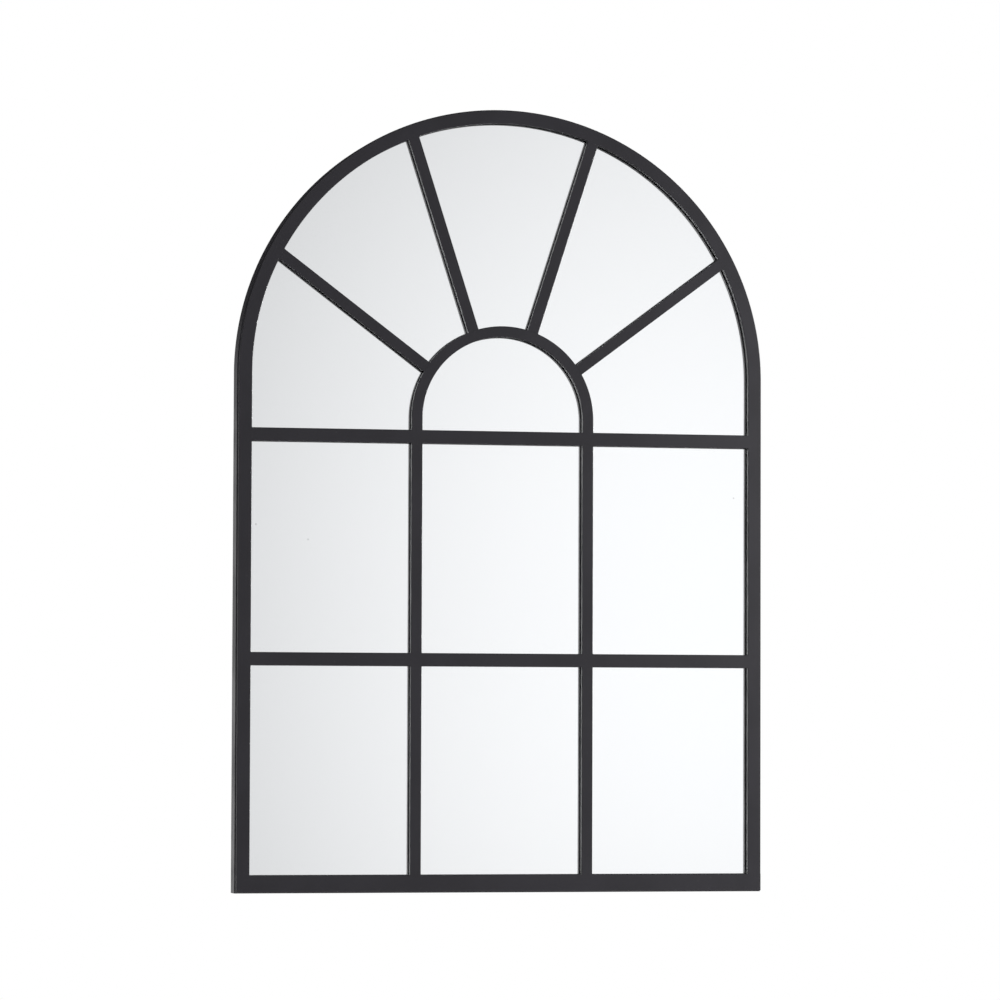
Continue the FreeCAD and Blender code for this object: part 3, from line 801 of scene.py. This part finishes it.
@dataclass
class WeldedFront:
    """The flat bars of the front: ring, cross bars, uprights, hoop and spokes.

    Every bar keeps its own piece. Their edges are rounded except at the joints, which are welded
    and ground flush, so that the front reads as one plane.

    Attributes:
        rounding: How the edges are rounded beside the joints.
        step: Greatest distance between stations on a straight bar.
        arc_step: The same on the arch.
        hoop_step: The same on the hoop.
    """

    rounding: EdgeRounding = field(default_factory=EdgeRounding)
    step: float = 40.0 * MM
    arc_step: float = 7.0 * MM
    hoop_step: float = 3.5 * MM

    def __post_init__(self) -> None:
        """Read the bars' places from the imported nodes."""
        arch_low, arch_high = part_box("face_arch")
        left_low, left_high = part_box("face_left")
        hoop_low, hoop_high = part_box("hoop")
        self.depth = 0.5 * (left_low.y + left_high.y)
        self.half_thickness = 0.5 * (left_high.y - left_low.y)
        self.outer = arch_high.x
        self.inner = -left_high.x
        self.spring = arch_low.z
        self.rail_low, self.rail_high = (corner.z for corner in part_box("face_bottom"))
        self.upright_out = hoop_high.x
        upright_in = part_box("upright_high_right")[0].x
        self.upright_mid = 0.5 * (self.upright_out + upright_in)
        self.upright_half = 0.5 * (self.upright_out - upright_in)
        self.bars = {name: [corner.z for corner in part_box(f"{name}_cross_bar")]
                     for name in ("lower", "upper")}
        self.hoop_foot = hoop_low.z
        self.hoop_centre = hoop_high.z - self.upright_out
        self.fan_centre = self.hoop_centre - FAN_DROP
        self.spoke_turns = [math.radians(FIRST_SPOKE + index * SPOKE_STEP)
                            for index in range(SPOKE_COUNT)]

    def reach(self, turn: float, v: Array, level: float, radius: float) -> Array:
        """Find how far along a spoke a circle about the centre line lies.

        At an offset v the spoke's line is foot + t * (cos a, sin a); it meets the circle of
        radius R about (0, level) where |foot + t * (cos a, sin a)| = R, a quadratic in t.

        Args:
            turn: The spoke's direction.
            v: Offsets from its middle line.
            level: Height of the circle's centre.
            radius: The circle's radius.

        Returns:
            The distance t for each offset.
        """
        foot_x = v * math.sin(turn)
        foot_z = self.fan_centre - level - v * math.cos(turn)
        along = foot_x * math.cos(turn) + foot_z * math.sin(turn)
        return -along + np.sqrt(along ** 2 - foot_x ** 2 - foot_z ** 2 + radius ** 2)

    def bar(self, name: str, place: Placer, length: float, half_width: float,
            plus: Sequence[Joint] = (), minus: Sequence[Joint] = (), butted: bool = True,
            step: float | None = None) -> None:
        """Make one bar.

        Args:
            name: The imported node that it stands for.
            place: Where its own coordinates lie.
            length: Its length along s.
            half_width: Half its width.
            plus: Joints on its +v side.
            minus: Joints on its -v side.
            butted: Whether its ends butt on other bars' sides.
            step: Greatest distance between stations, where it isn't a straight bar's.
        """
        butts = [Joint(0.0, 0.0), Joint(length, 0.0)] if butted else []
        stations = self.rounding.stations(length, [*plus, *minus, *butts], step or self.step)
        section = Section(np.full_like(stations, half_width), self.half_thickness,
                          self.rounding.radii(stations, [*plus, *butts]),
                          self.rounding.radii(stations, [*minus, *butts]))
        finish_piece(carry(f"welded_{name}", stations, section, place), COAT, ROOT_BODY, name)

    def line(self, x: float, z: float, heading: float) -> Placer:
        """Return the placer of a straight bar of the front."""
        return straight((x, z), heading, self.depth)

    def upright_joints(self, origin: float) -> list[Joint]:
        """Return the joints of both uprights on a level bar that starts at x = origin."""
        return [Joint(sign * self.upright_mid - origin, self.upright_half) for _, sign in SIDES]

    def spoke_joints(self, level: float, radius: float, middle: float) -> list[Joint]:
        """Find where the spokes meet a bent bar, as lengths of arc along its middle line.

        Args:
            level: Height of the bend's centre.
            radius: Radius of the side that the spokes butt on.
            middle: Radius of the bar's middle line.

        Returns:
            One joint for each spoke.
        """
        joints = []
        for turn in self.spoke_turns:
            reach = float(self.reach(turn, np.zeros(1), level, radius)[0])
            where = math.atan2(self.fan_centre - level + reach * math.sin(turn),
                               reach * math.cos(turn))
            half = self.upright_half / math.cos(where - turn)
            joints.append(Joint(where * middle, half * middle / radius))
        return joints

    def make_ring(self) -> None:
        """Make the bottom rail, both stiles and the arch of the front ring."""
        half = 0.5 * (self.outer - self.inner)
        middle = self.outer - half
        length = 2.0 * self.outer
        stiles = [Joint(half, half), Joint(length - half, half)]
        # The uprights and stiles stand on the level rail's -v side.
        self.bar("face_bottom",
                 self.line(-self.outer, 0.5 * (self.rail_low + self.rail_high), LEVEL), length,
                 0.5 * (self.rail_high - self.rail_low),
                 minus=[*self.upright_joints(-self.outer), *stiles], butted=False)
        crossings = [Joint(0.5 * (low + high) - self.rail_high, 0.5 * (high - low))
                     for low, high in self.bars.values()]
        # The +v side is the inside of the left stile and the outside of the right one.
        for (side, sign), inside in zip(SIDES, ("plus", "minus")):
            self.bar(f"face_{side}", self.line(sign * middle, self.rail_high, UPRIGHT),
                     self.spring - self.rail_high, half, butted=False, **{inside: crossings})
        self.bar("face_arch", bent((0.0, self.spring), middle, self.depth), math.pi * middle,
                 half, minus=self.spoke_joints(self.spring, self.inner, middle), butted=False,
                 step=self.arc_step)

    def make_cross_bars(self) -> None:
        """Make the two cross bars between the stiles."""
        joints = self.upright_joints(-self.inner)
        for name, (low, high) in self.bars.items():
            self.bar(f"{name}_cross_bar", self.line(-self.inner, 0.5 * (low + high), LEVEL),
                     2.0 * self.inner, 0.5 * (high - low), joints, joints)

    def make_uprights(self) -> None:
        """Make the four uprights between the rail and the cross bars."""
        rows = {"low": (self.rail_high, self.bars["lower"][0]),
                "high": (self.bars["lower"][1], self.bars["upper"][0])}
        for row, (foot, head) in rows.items():
            for side, sign in SIDES:
                self.bar(f"upright_{row}_{side}",
                         self.line(sign * self.upright_mid, foot, UPRIGHT), head - foot,
                         self.upright_half)

    def make_hoop(self) -> None:
        """Make the hoop: a leg, a half circle and a leg, as one bent bar.

        With s the length along the middle line from the right foot, the leg runs while
        s < leg, the half circle while s < leg + pi R, and the other leg after that.
        """
        leg = self.hoop_centre - self.hoop_foot
        radius = self.upright_mid
        turn = math.pi * radius

        def place(s: Array, v: Array, w: Array) -> Array:
            """Place the hoop's own coordinates along leg, half circle and leg.

            Args:
                s: Lengths along the middle line.
                v: Offsets outward.
                w: Offsets to the back.

            Returns:
                The points.
            """
            angle = np.clip((s - leg) / radius, 0.0, math.pi)
            drop = np.maximum(leg - s, 0.0) + np.maximum(s - leg - turn, 0.0)
            return np.stack([(radius + v) * np.cos(angle), self.depth + w,
                             self.hoop_centre + (radius + v) * np.sin(angle) - drop], axis=-1)

        joints = [Joint(leg + joint.at, joint.half) for joint in
                  self.spoke_joints(self.hoop_centre, self.upright_out, radius)]
        self.bar("hoop", place, turn + 2.0 * leg, self.upright_half, joints, step=self.hoop_step)

    def make_spoke(self, name: str, turn: float) -> None:
        """Make a spoke, whose ends follow the hoop's outer and the arch's inner circle.

        Args:
            name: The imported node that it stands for.
            turn: Its direction from the fan's centre.
        """
        def limits(v: Array) -> tuple[Array, Array]:
            """Return where the spoke starts and ends at an offset v."""
            return (self.reach(turn, v, self.hoop_centre, self.upright_out),
                    self.reach(turn, v, self.spring, self.inner))

        first, last = limits(np.zeros(1))
        length = float(last[0] - first[0])

        def place(s: Array, v: Array, w: Array) -> Array:
            """Place the spoke's own coordinates, with s stretched to its ends.

            Args:
                s: Lengths along the spoke's middle.
                v: Offsets across it.
                w: Offsets to the back.

            Returns:
                The points.
            """
            start, end = limits(v)
            reach = start + (end - start) * s / length
            return np.stack([reach * math.cos(turn) + v * math.sin(turn), self.depth + w,
                             self.fan_centre + reach * math.sin(turn) - v * math.cos(turn)],
                            axis=-1)

        self.bar(name, place, length, self.upright_half)

    def build(self) -> None:
        """Make every bar of the front."""
        self.make_ring()
        self.make_cross_bars()
        self.make_uprights()
        self.make_hoop()
        for index, turn in enumerate(self.spoke_turns):
            self.make_spoke(f"spoke_{index + 1}", turn)


@dataclass
class RimBand:
    """The strips on edge round the rim, with the cut edges of the strip slightly rounded.

    Attributes:
        rounding: Radius of the cut edges.
        step: Greatest distance between stations on a straight strip.
        arc_step: The same on the arch.
    """

    rounding: float = 0.5 * MM
    step: float = 60.0 * MM
    arc_step: float = 7.0 * MM

    def strip(self, node: str, place: Placer, length: float, half: float, half_depth: float,
              step: float) -> None:
        """Make one strip.

        Args:
            node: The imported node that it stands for.
            place: Where its own coordinates lie.
            length: Its length along s.
            half: Half the strip's thickness.
            half_depth: Half its width, from front to back.
            step: Greatest distance between stations.
        """
        stations = spread(length, step)
        radii = np.full_like(stations, self.rounding)
        section = Section(np.full_like(stations, half), half_depth, radii, radii)
        finish_piece(carry(f"{node}_strip", stations, section, place), COAT, ROOT_BODY, node)

    def build(self) -> None:
        """Make both legs, the arch and the bottom strip from the right leg's packed box."""
        low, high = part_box("side_band_right")
        half, half_depth = 0.5 * (high.x - low.x), 0.5 * (high.y - low.y)
        middle, depth = high.x - half, 0.5 * (high.y + low.y)
        inner = middle - half
        for side, sign in SIDES:
            self.strip(f"side_band_{side}", straight((sign * middle, low.z), UPRIGHT, depth),
                       high.z - low.z, half, half_depth, self.step)
        self.strip("arch_band", bent((0.0, high.z), middle, depth), math.pi * middle, half,
                   half_depth, self.arc_step)
        self.strip("bottom_band", straight((-inner, low.z + half), LEVEL, depth), 2.0 * inner,
                   half, half_depth, self.step)


@dataclass
class GlassStack:
    """Tape, glass with its silvering, foam and board.

    Attributes:
        silver_front: How far the silvering's front lies inside the glass from its back.
        silver_back: How far its back does.
        arc_points: Points on the outline's half circle.
    """

    silver_front: float = 0.06 * MM
    silver_back: float = 0.01 * MM
    arc_points: int = 181

    def silvering(self) -> Thing:
        """Make the silver layer: the glass's own outline as a thin closed leaf.

        The outline is two feet and a half circle, (R cos a, spring + R sin a).

        Returns:
            The leaf.
        """
        low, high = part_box("mirror_glass")
        radius = high.x - self.silver_front
        spring = high.z - high.x
        angle = np.linspace(0.0, math.pi, self.arc_points)
        x = np.concatenate([radius * np.cos(angle), [-radius, radius]])
        z = np.concatenate([spring + radius * np.sin(angle),
                            np.full(2, low.z + self.silver_front)])
        count = len(x)
        sides = [np.stack([x, np.full(count, high.y - inset), z], axis=1)
                 for inset in (self.silver_front, self.silver_back)]
        ring = np.arange(count)
        after = np.roll(ring, -1)
        walls = np.stack([ring, ring + count, after + count, after], axis=1)
        faces = [ring.tolist(), (ring[::-1] + count).tolist(), *walls.tolist()]
        leaf = link_mesh("mirror_silvering", np.concatenate(sides), faces)
        leaf.data.polygons.foreach_set("use_smooth", np.zeros(len(faces), dtype=bool))
        return leaf

    def build(self) -> None:
        """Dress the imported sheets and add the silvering."""
        for node, finish in (("glass_tape", TAPE), ("mirror_glass", GLASS),
                             ("foam_sheet", FOAM), ("backing_board", BOARD)):
            finish.paint(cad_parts[node])
            LOG.info("%s dressed as %s", node, finish.name)
        finish_piece(self.silvering(), SILVER, ROOT_BODY)


@dataclass
class BoardFixings:
    """The bent tabs round the rim and the screws through them.

    Attributes:
        foot: Length of a tab's foot on the board.
        leg: Length of its leg on the band.
        width: Width of the strip.
        thickness: Thickness of the strip.
        bend: Inner radius of its bend.
        corner: Radius of its corners.
        rounding: Rounding of its cut edges.
        corner_points: Points along each corner.
        bend_points: Points round the bend.
        side_levels: Heights of the tabs on the legs of the rim.
        bottom_half_spacing: Distance of the bottom tabs from the middle.
        arch_angles: Places of the tabs on the arch.
    """

    foot: float = 16.0 * MM
    leg: float = 10.0 * MM
    width: float = 16.0 * MM
    thickness: float = 1.5 * MM
    bend: float = 1.0 * MM
    corner: float = 3.0 * MM
    rounding: float = 0.2 * MM
    corner_points: int = 6
    bend_points: int = 7
    side_levels: Pair = (140.0 * MM, 430.0 * MM)
    bottom_half_spacing: float = 150.0 * MM
    arch_angles: tuple[float, ...] = (45.0, 90.0, 135.0)

    def path(self) -> StripPath:
        """Trace a tab's middle line from the foot's tip, round the bend and up the leg.

        The first coordinate is the distance inward from the band and the second the height above
        the board. The bend is a quarter circle of radius bend + half the thickness.

        Returns:
            The middle line.
        """
        half = 0.5 * self.thickness
        centre = self.thickness + self.bend
        reach = np.concatenate([np.linspace(0.0, 1.0, self.corner_points) * self.corner,
                                [self.foot - centre]])
        foot = np.stack([self.foot - reach, np.full_like(reach, half)], axis=1)
        turn = unit(np.radians(np.linspace(-90.0, -180.0, self.bend_points))[1:-1])
        elbow = centre + (self.bend + half) * turn
        rise = np.concatenate([[centre], self.leg
                               - np.linspace(1.0, 0.0, self.corner_points) * self.corner])
        leg = np.stack([np.full_like(rise, half), rise], axis=1)
        return StripPath(np.concatenate([foot, elbow, leg]),
                         np.concatenate([np.tile([0.0, 1.0], (len(foot), 1)), -turn,
                                         np.tile([1.0, 0.0], (len(leg), 1))]))

    def seats(self, inner: float, spring: float, base: float) -> list[tuple[float, float, float]]:
        """List where the tabs sit on the band's inner face.

        Args:
            inner: x of the right leg's inner face.
            spring: Height of the arch's centre.
            base: Height of the bottom strip's upper face.

        Returns:
            Each tab's x, z and outward angle.
        """
        found = [(sign * inner, level, 0.0 if sign > 0 else 180.0)
                 for level in self.side_levels for sign in (1.0, -1.0)]
        found += [(sign * self.bottom_half_spacing, base, -90.0) for sign in (1.0, -1.0)]
        chord = math.sqrt(inner ** 2 - (0.5 * self.width) ** 2)
        found += [(chord * math.cos(math.radians(angle)),
                   spring + chord * math.sin(math.radians(angle)), angle)
                  for angle in self.arch_angles]
        return found

    def tab(self, x: float, z: float, angle: float) -> Thing:
        """Make one tab.

        Args:
            x: Where its back meets the band.
            z: The same, upwards.
            angle: Its outward direction.

        Returns:
            The tab.
        """
        path = self.path()
        run = path.run()
        half_width = rounded_end(np.minimum(run, run[-1] - run), 0.5 * self.width, self.corner)
        board_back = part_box("backing_board")[1].y
        out_x, out_z = math.cos(math.radians(angle)), math.sin(math.radians(angle))

        def seat(inward: Array, above: Array, v: Array) -> Array:
            """Return points for a distance inward, a height above the board and v."""
            return np.stack([x - inward * out_x + v * out_z, board_back + above,
                             z - inward * out_z - v * out_x], axis=-1)
        return bent_strip("tab", path, half_width, 0.5 * self.thickness, self.rounding, seat)

    def build(self) -> None:
        """Make the nine tabs as one piece and dress the screws."""
        band_low, band_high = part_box("side_band_right")
        tabs = [self.tab(*seat) for seat in
                self.seats(band_low.x, band_high.z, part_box("bottom_band")[1].z)]
        finish_piece(joined(tabs, "board_tabs_bent"), COAT, ROOT_BODY, "board_tabs")
        for node in ("tab_screws", "hanger_screws"):
            ZINC.paint(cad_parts[node])
            LOG.info("%s dressed as %s", node, ZINC.name)


def joined(things: Sequence[Thing], name: str) -> Thing:
    """Join several meshes into one object.

    Args:
        things: The objects, whose places are in their meshes.
        name: The joined object's name.

    Returns:
        The joined object.
    """
    with bpy.context.temp_override(active_object=things[0], object=things[0],
                                   selected_editable_objects=list(things),
                                   selected_objects=list(things)):
        bpy.ops.object.join()
    things[0].name = name
    things[0].data.name = name
    return things[0]


@dataclass
class Hanger:
    """One D-ring hanger: a strap whose end curls round the ring's bar, and the ring.

    Attributes:
        side: left or right.
        curl_end: How far the curl goes past level, towards the strap.
        corner: Radius of the strap's lower corners.
        strap_thickness: Thickness of the strap.
        strap_rounding: Rounding of its cut edges.
        strap_stop: Where the last point below the curl is, as a part of the strap's drop.
        ring_corner: Radius of the ring's two bends.
        corner_points: Points along each of the strap's corners.
        curl_points: Points round the curl.
        bend_points: Points round each bend of the ring.
        bow_points: Points round the ring's bow.
        around: Points round the wire.
    """

    side: str
    curl_end: float = 60.0
    corner: float = 3.0 * MM
    strap_thickness: float = 1.2 * MM
    strap_rounding: float = 0.15 * MM
    strap_stop: float = 0.6
    ring_corner: float = 3.5 * MM
    corner_points: int = 7
    curl_points: int = 33
    bend_points: int = 11
    bow_points: int = 61
    around: int = 24

    def __post_init__(self) -> None:
        """Read the strap's and the ring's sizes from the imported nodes."""
        self.ring_low, self.ring_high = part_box(f"hanger_ring_{self.side}")
        self.strap_low, self.strap_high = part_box(f"hanger_plate_{self.side}")
        self.wire = 0.5 * (self.ring_high.y - self.ring_low.y)
        self.axis = Vector((0.5 * (self.ring_low.x + self.ring_high.x),
                            0.5 * (self.ring_low.y + self.ring_high.y),
                            self.ring_high.z - self.wire))

    def strap(self) -> Thing:
        """Make the strap: straight up the board, then round the bar.

        Its middle line is level with the curl's middle radius behind the axis, and then a
        circle of that radius from 180 degrees over the top to the curl's end.

        Returns:
            The strap.
        """
        half = 0.5 * self.strap_thickness
        radius = self.strap_high.z - self.axis.z - half
        drop = self.axis.z - self.strap_low.z
        rise = np.concatenate([np.linspace(0.0, 1.0, self.corner_points) * self.corner,
                               [self.strap_stop * drop]]) - drop
        turn = unit(np.radians(np.linspace(180.0, -self.curl_end, self.curl_points)))
        foot = np.stack([np.full_like(rise, -radius), rise], axis=1)
        path = StripPath(np.concatenate([foot, radius * turn]),
                         np.concatenate([np.tile([-1.0, 0.0], (len(rise), 1)), turn]))
        half_width = rounded_end(path.run(), 0.5 * (self.strap_high.x - self.strap_low.x),
                                 self.corner)

        def seat(first: Array, second: Array, v: Array) -> Array:
            """Return points for a depth, a height and a distance across."""
            return np.stack([self.axis.x - v, self.axis.y + first, self.axis.z + second], axis=-1)
        return bent_strip(f"strap_{self.side}", path, half_width, half, self.strap_rounding, seat)

    def ring(self) -> Thing:
        """Make the ring: a round wire carried round a closed D.

        The D's middle line is a straight bar on the axis, two quarter circles, two short legs
        and a half circle; each point's normal lies in the ring's plane, and the wire's surface is
        middle + r * (cos b * normal + sin b * +Y).

        Returns:
            The ring.
        """
        half = 0.5 * (self.ring_high.x - self.ring_low.x) - self.wire
        bottom = self.axis.z - self.ring_low.z - self.wire
        corner = self.ring_corner
        # Each arc: its centre, its radius, its first and last angle and its number of points.
        arcs = (((half - corner, -corner), corner, (90.0, 0.0), self.bend_points),
                ((0.0, half - bottom), half, (0.0, -180.0), self.bow_points),
                ((corner - half, -corner), corner, (180.0, 90.0), self.bend_points))
        normal = np.concatenate([unit(np.radians(np.linspace(*turns, count)))
                                 for _, _, turns, count in arcs])
        centres = np.concatenate([np.tile(centre, (count, 1)) for centre, _, _, count in arcs])
        radii = np.concatenate([np.full(count, radius) for _, radius, _, count in arcs])
        middle = centres + radii[:, None] * normal
        round_wire = self.wire * unit(np.linspace(0.0, 2.0 * math.pi, self.around,
                                                  endpoint=False))
        x = self.axis.x + middle[:, 0:1] + normal[:, 0:1] * round_wire[:, 0]
        z = self.axis.z + middle[:, 1:2] + normal[:, 1:2] * round_wire[:, 0]
        y = self.axis.y + np.broadcast_to(round_wire[:, 1], x.shape)
        grid = np.arange(x.size).reshape(x.shape)
        next_row, next_column = np.roll(grid, -1, axis=0), np.roll(grid, -1, axis=1)
        both = np.roll(next_row, -1, axis=1)
        quads = np.stack([grid, next_row, both, next_column], axis=-1).reshape(-1, 4)
        return link_mesh(f"d_ring_{self.side}", np.stack([x, y, z], axis=-1).reshape(-1, 3),
                         quads.tolist())

    def build(self) -> None:
        """Make the strap on the mirror and the ring on its own body."""
        finish_piece(self.strap(), ZINC, ROOT_BODY, f"hanger_plate_{self.side}")
        finish_piece(self.ring(), ZINC, f"ring_{self.side}", f"hanger_ring_{self.side}")


# Light and camera ---------------------------------------------------------------------------

@dataclass(frozen=True)
class Fade:
    """A smooth change of a window's level over one part of a unit direction.

    Attributes:
        axis: The part that it goes by.
        source: Where it starts and ends along that part.
        levels: The level at its start and at its end.
    """

    axis: str
    source: Pair
    levels: Pair


@dataclass(frozen=True)
class Lamp:
    """A square area lamp.

    Attributes:
        name: Its name.
        place: Where it hangs.
        aim: What it points at.
        size: Its side.
        power: Its power in watts.
    """

    name: str
    place: Point
    aim: Point
    size: float
    power: float

    def build(self) -> None:
        """Make the lamp and turn it to its aim."""
        data = bpy.data.lights.new(self.name, "AREA")
        data.size = self.size
        data.energy = self.power
        lamp = bpy.data.objects.new(self.name, data)
        lamp.location = self.place
        sight = Vector(self.aim) - Vector(self.place)
        lamp.rotation_euler = sight.to_track_quat("-Z", "Y").to_euler()
        bpy.context.scene.collection.objects.link(lamp)


@dataclass
class Studio:
    """A pale studio: a soft world, two large lamps, and a floor well below the hung mirror.

    Polished surfaces see two soft windows in front and a backdrop behind the mirror. Each window
    is the product of its fades.

    Attributes:
        right_window: The broad window in front, to the right.
        left_window: The narrower window to the left of the camera.
        backdrop: The backdrop, which is darker higher up.
        behind: The change from the windows to the backdrop.
        room_light: Level of the room for diffuse light.
        lamps: The lamps.
        floor_level: Height of the floor.
        floor_radius: Radius of the floor, which fades out towards its rim.
        floor_fade: Where it fades, as parts of the radius.
        floor_sides: Corners of its rim.
        floor_shades: The two greys that its grain mixes.
    """

    right_window: tuple[Fade, ...] = (Fade("X", (-0.03, 0.262), (0.0, 1.06)),
                                      Fade("X", (0.42, 0.7), (1.0, 0.15)),
                                      Fade("Z", (0.03, 0.38), (1.0, 0.1)),
                                      Fade("Z", (-0.3, 0.01), (0.1, 1.0)))
    left_window: tuple[Fade, ...] = (Fade("X", (-0.7, -0.45), (0.1, 1.3)),
                                     Fade("X", (-0.13, -0.03), (1.0, 0.0)))
    backdrop: tuple[Fade, ...] = (Fade("Z", (0.03, 0.12), (0.85, 0.0425)),)
    behind: tuple[Fade, ...] = (Fade("Y", (-0.05, 0.05), (0.0, 1.0)),)
    room_light: float = 0.5
    lamps: tuple[Lamp, ...] = (
        Lamp("key_lamp", (1.45, -1.25, 0.58), (0.1, 0.0, 0.45), 0.6, 17.0),
        Lamp("back_lamp", (1.6, 2.4, 1.8), (0.0, 0.0, 0.45), 2.0, 55.0))
    floor_level: float = -0.42
    floor_radius: float = 4.0
    floor_fade: Pair = (0.35, 0.95)
    floor_sides: int = 96
    floor_shades: Pair = (0.86, 0.9)

    def world(self) -> None:
        """Light the room evenly, show two soft windows to gloss and white to the camera."""
        world = bpy.data.worlds.new("pale_studio")
        bpy.context.scene.world = world
        world.use_nodes = True
        world.node_tree.nodes.clear()
        tree = Tree(world.node_tree)
        way = tree.add("SeparateXYZ", Vector=tree.add("TexCoord").outputs["Generated"]).outputs

        def faded(fades: Sequence[Fade]) -> Socket:
            """Return the product of several fades."""
            return reduce(tree.times, (tree.span(way[fade.axis], fade.source, fade.levels)
                                       for fade in fades))

        windows = tree.math("ADD", faded(self.right_window), faded(self.left_window))
        shown = tree.blend(faded(self.behind), windows, faded(self.backdrop))
        paths = tree.add("LightPath").outputs
        polished = tree.math("MAXIMUM", paths["Is Glossy Ray"], paths["Is Transmission Ray"])
        white = (1.0, 1.0, 1.0)
        level = tree.blend(polished, tone(white, self.room_light), shown)
        level = tree.blend(paths["Is Camera Ray"], level, tone(white))
        background = tree.add("Background", Color=level, Strength=1.0)
        tree.add("OutputWorld", Surface=background.outputs[0])

    def floor(self) -> None:
        """Make a pale round floor whose rim fades into the background."""
        angle = np.linspace(0.0, 2.0 * math.pi, self.floor_sides, endpoint=False)
        rim = np.column_stack([self.floor_radius * unit(angle),
                               np.full_like(angle, self.floor_level)])
        disc = link_mesh("pale_floor", rim, [list(range(len(angle)))])
        made = Surface("pale_floor", Roughness=0.9)
        dark, light = (tone((shade, shade, shade)) for shade in self.floor_shades)
        made.feed(Base_Color=made.blend(made.noise(made.place, 3.0, 2.0), dark, light))
        far = made.add("VectorMath", {"operation": "LENGTH"}, in_0=made.place).outputs["Value"]
        start, end = (part * self.floor_radius for part in self.floor_fade)
        mix = made.add("MixShader", Fac=made.span(far, (start, end)),
                       in_1=made.shader.outputs[0],
                       in_2=made.add("BsdfTransparent").outputs[0])
        made.put(mix.outputs[0], made.out.inputs["Surface"])
        disc.data.materials.append(made.material)

    def build(self) -> None:
        """Set the world, the lamps and the floor."""
        self.world()
        for lamp in self.lamps:
            lamp.build()
        self.floor()


@dataclass
class PhotoCamera:
    """A long lens from the left of the mirror, a little below its middle.

    Attributes:
        place: Where the lens is.
        heading: Turn to the right from straight ahead at the wall.
        rise: Tilt upwards.
        roll: Turn about the line of sight.
        lens: Focal length in millimetres.
        sensor: Width of the sensor in millimetres.
        far_clip: How far it sees.
    """

    place: Point = (-1.1965, -5.3746, 0.195)
    heading: float = 12.585
    rise: float = 2.608
    roll: float = -0.198
    lens: float = 173.88
    sensor: float = 36.0
    far_clip: float = 100.0

    def build(self) -> None:
        """Make the camera and set it as the scene's."""
        heading, rise, roll = (math.radians(angle)
                               for angle in (self.heading, self.rise, self.roll))
        level_right = np.array([math.cos(heading), -math.sin(heading), 0.0])
        level_ahead = np.array([math.sin(heading), math.cos(heading), 0.0])
        up = np.array([0.0, 0.0, 1.0])
        ahead = math.cos(rise) * level_ahead + math.sin(rise) * up
        tilted_up = math.cos(rise) * up - math.sin(rise) * level_ahead
        right = math.cos(roll) * level_right - math.sin(roll) * tilted_up
        tilted_up = math.sin(roll) * level_right + math.cos(roll) * tilted_up
        turned = Matrix(np.stack([right, tilted_up, -ahead], axis=1).tolist()).to_4x4()
        data = bpy.data.cameras.new("photo_camera")
        data.sensor_width = self.sensor
        data.lens = self.lens
        data.clip_end = self.far_clip
        camera = bpy.data.objects.new("photo_camera", data)
        camera.matrix_world = Matrix.Translation(self.place) @ turned
        bpy.context.scene.collection.objects.link(camera)
        bpy.context.scene.camera = camera


def write_size() -> None:
    """Update the view layer; no box is written."""
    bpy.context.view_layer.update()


def main() -> None:
    logging.basicConfig(level=logging.INFO, format="%(name)s %(message)s")
    bpy.context.scene.view_settings.view_transform = "Standard"
    build_groups()
    WeldedFront().build()
    RimBand().build()
    GlassStack().build()
    BoardFixings().build()
    for side, _ in SIDES:
        Hanger(side).build()
    Studio().build()
    PhotoCamera().build()
    write_size()


if __name__ == "__main__":
    main()
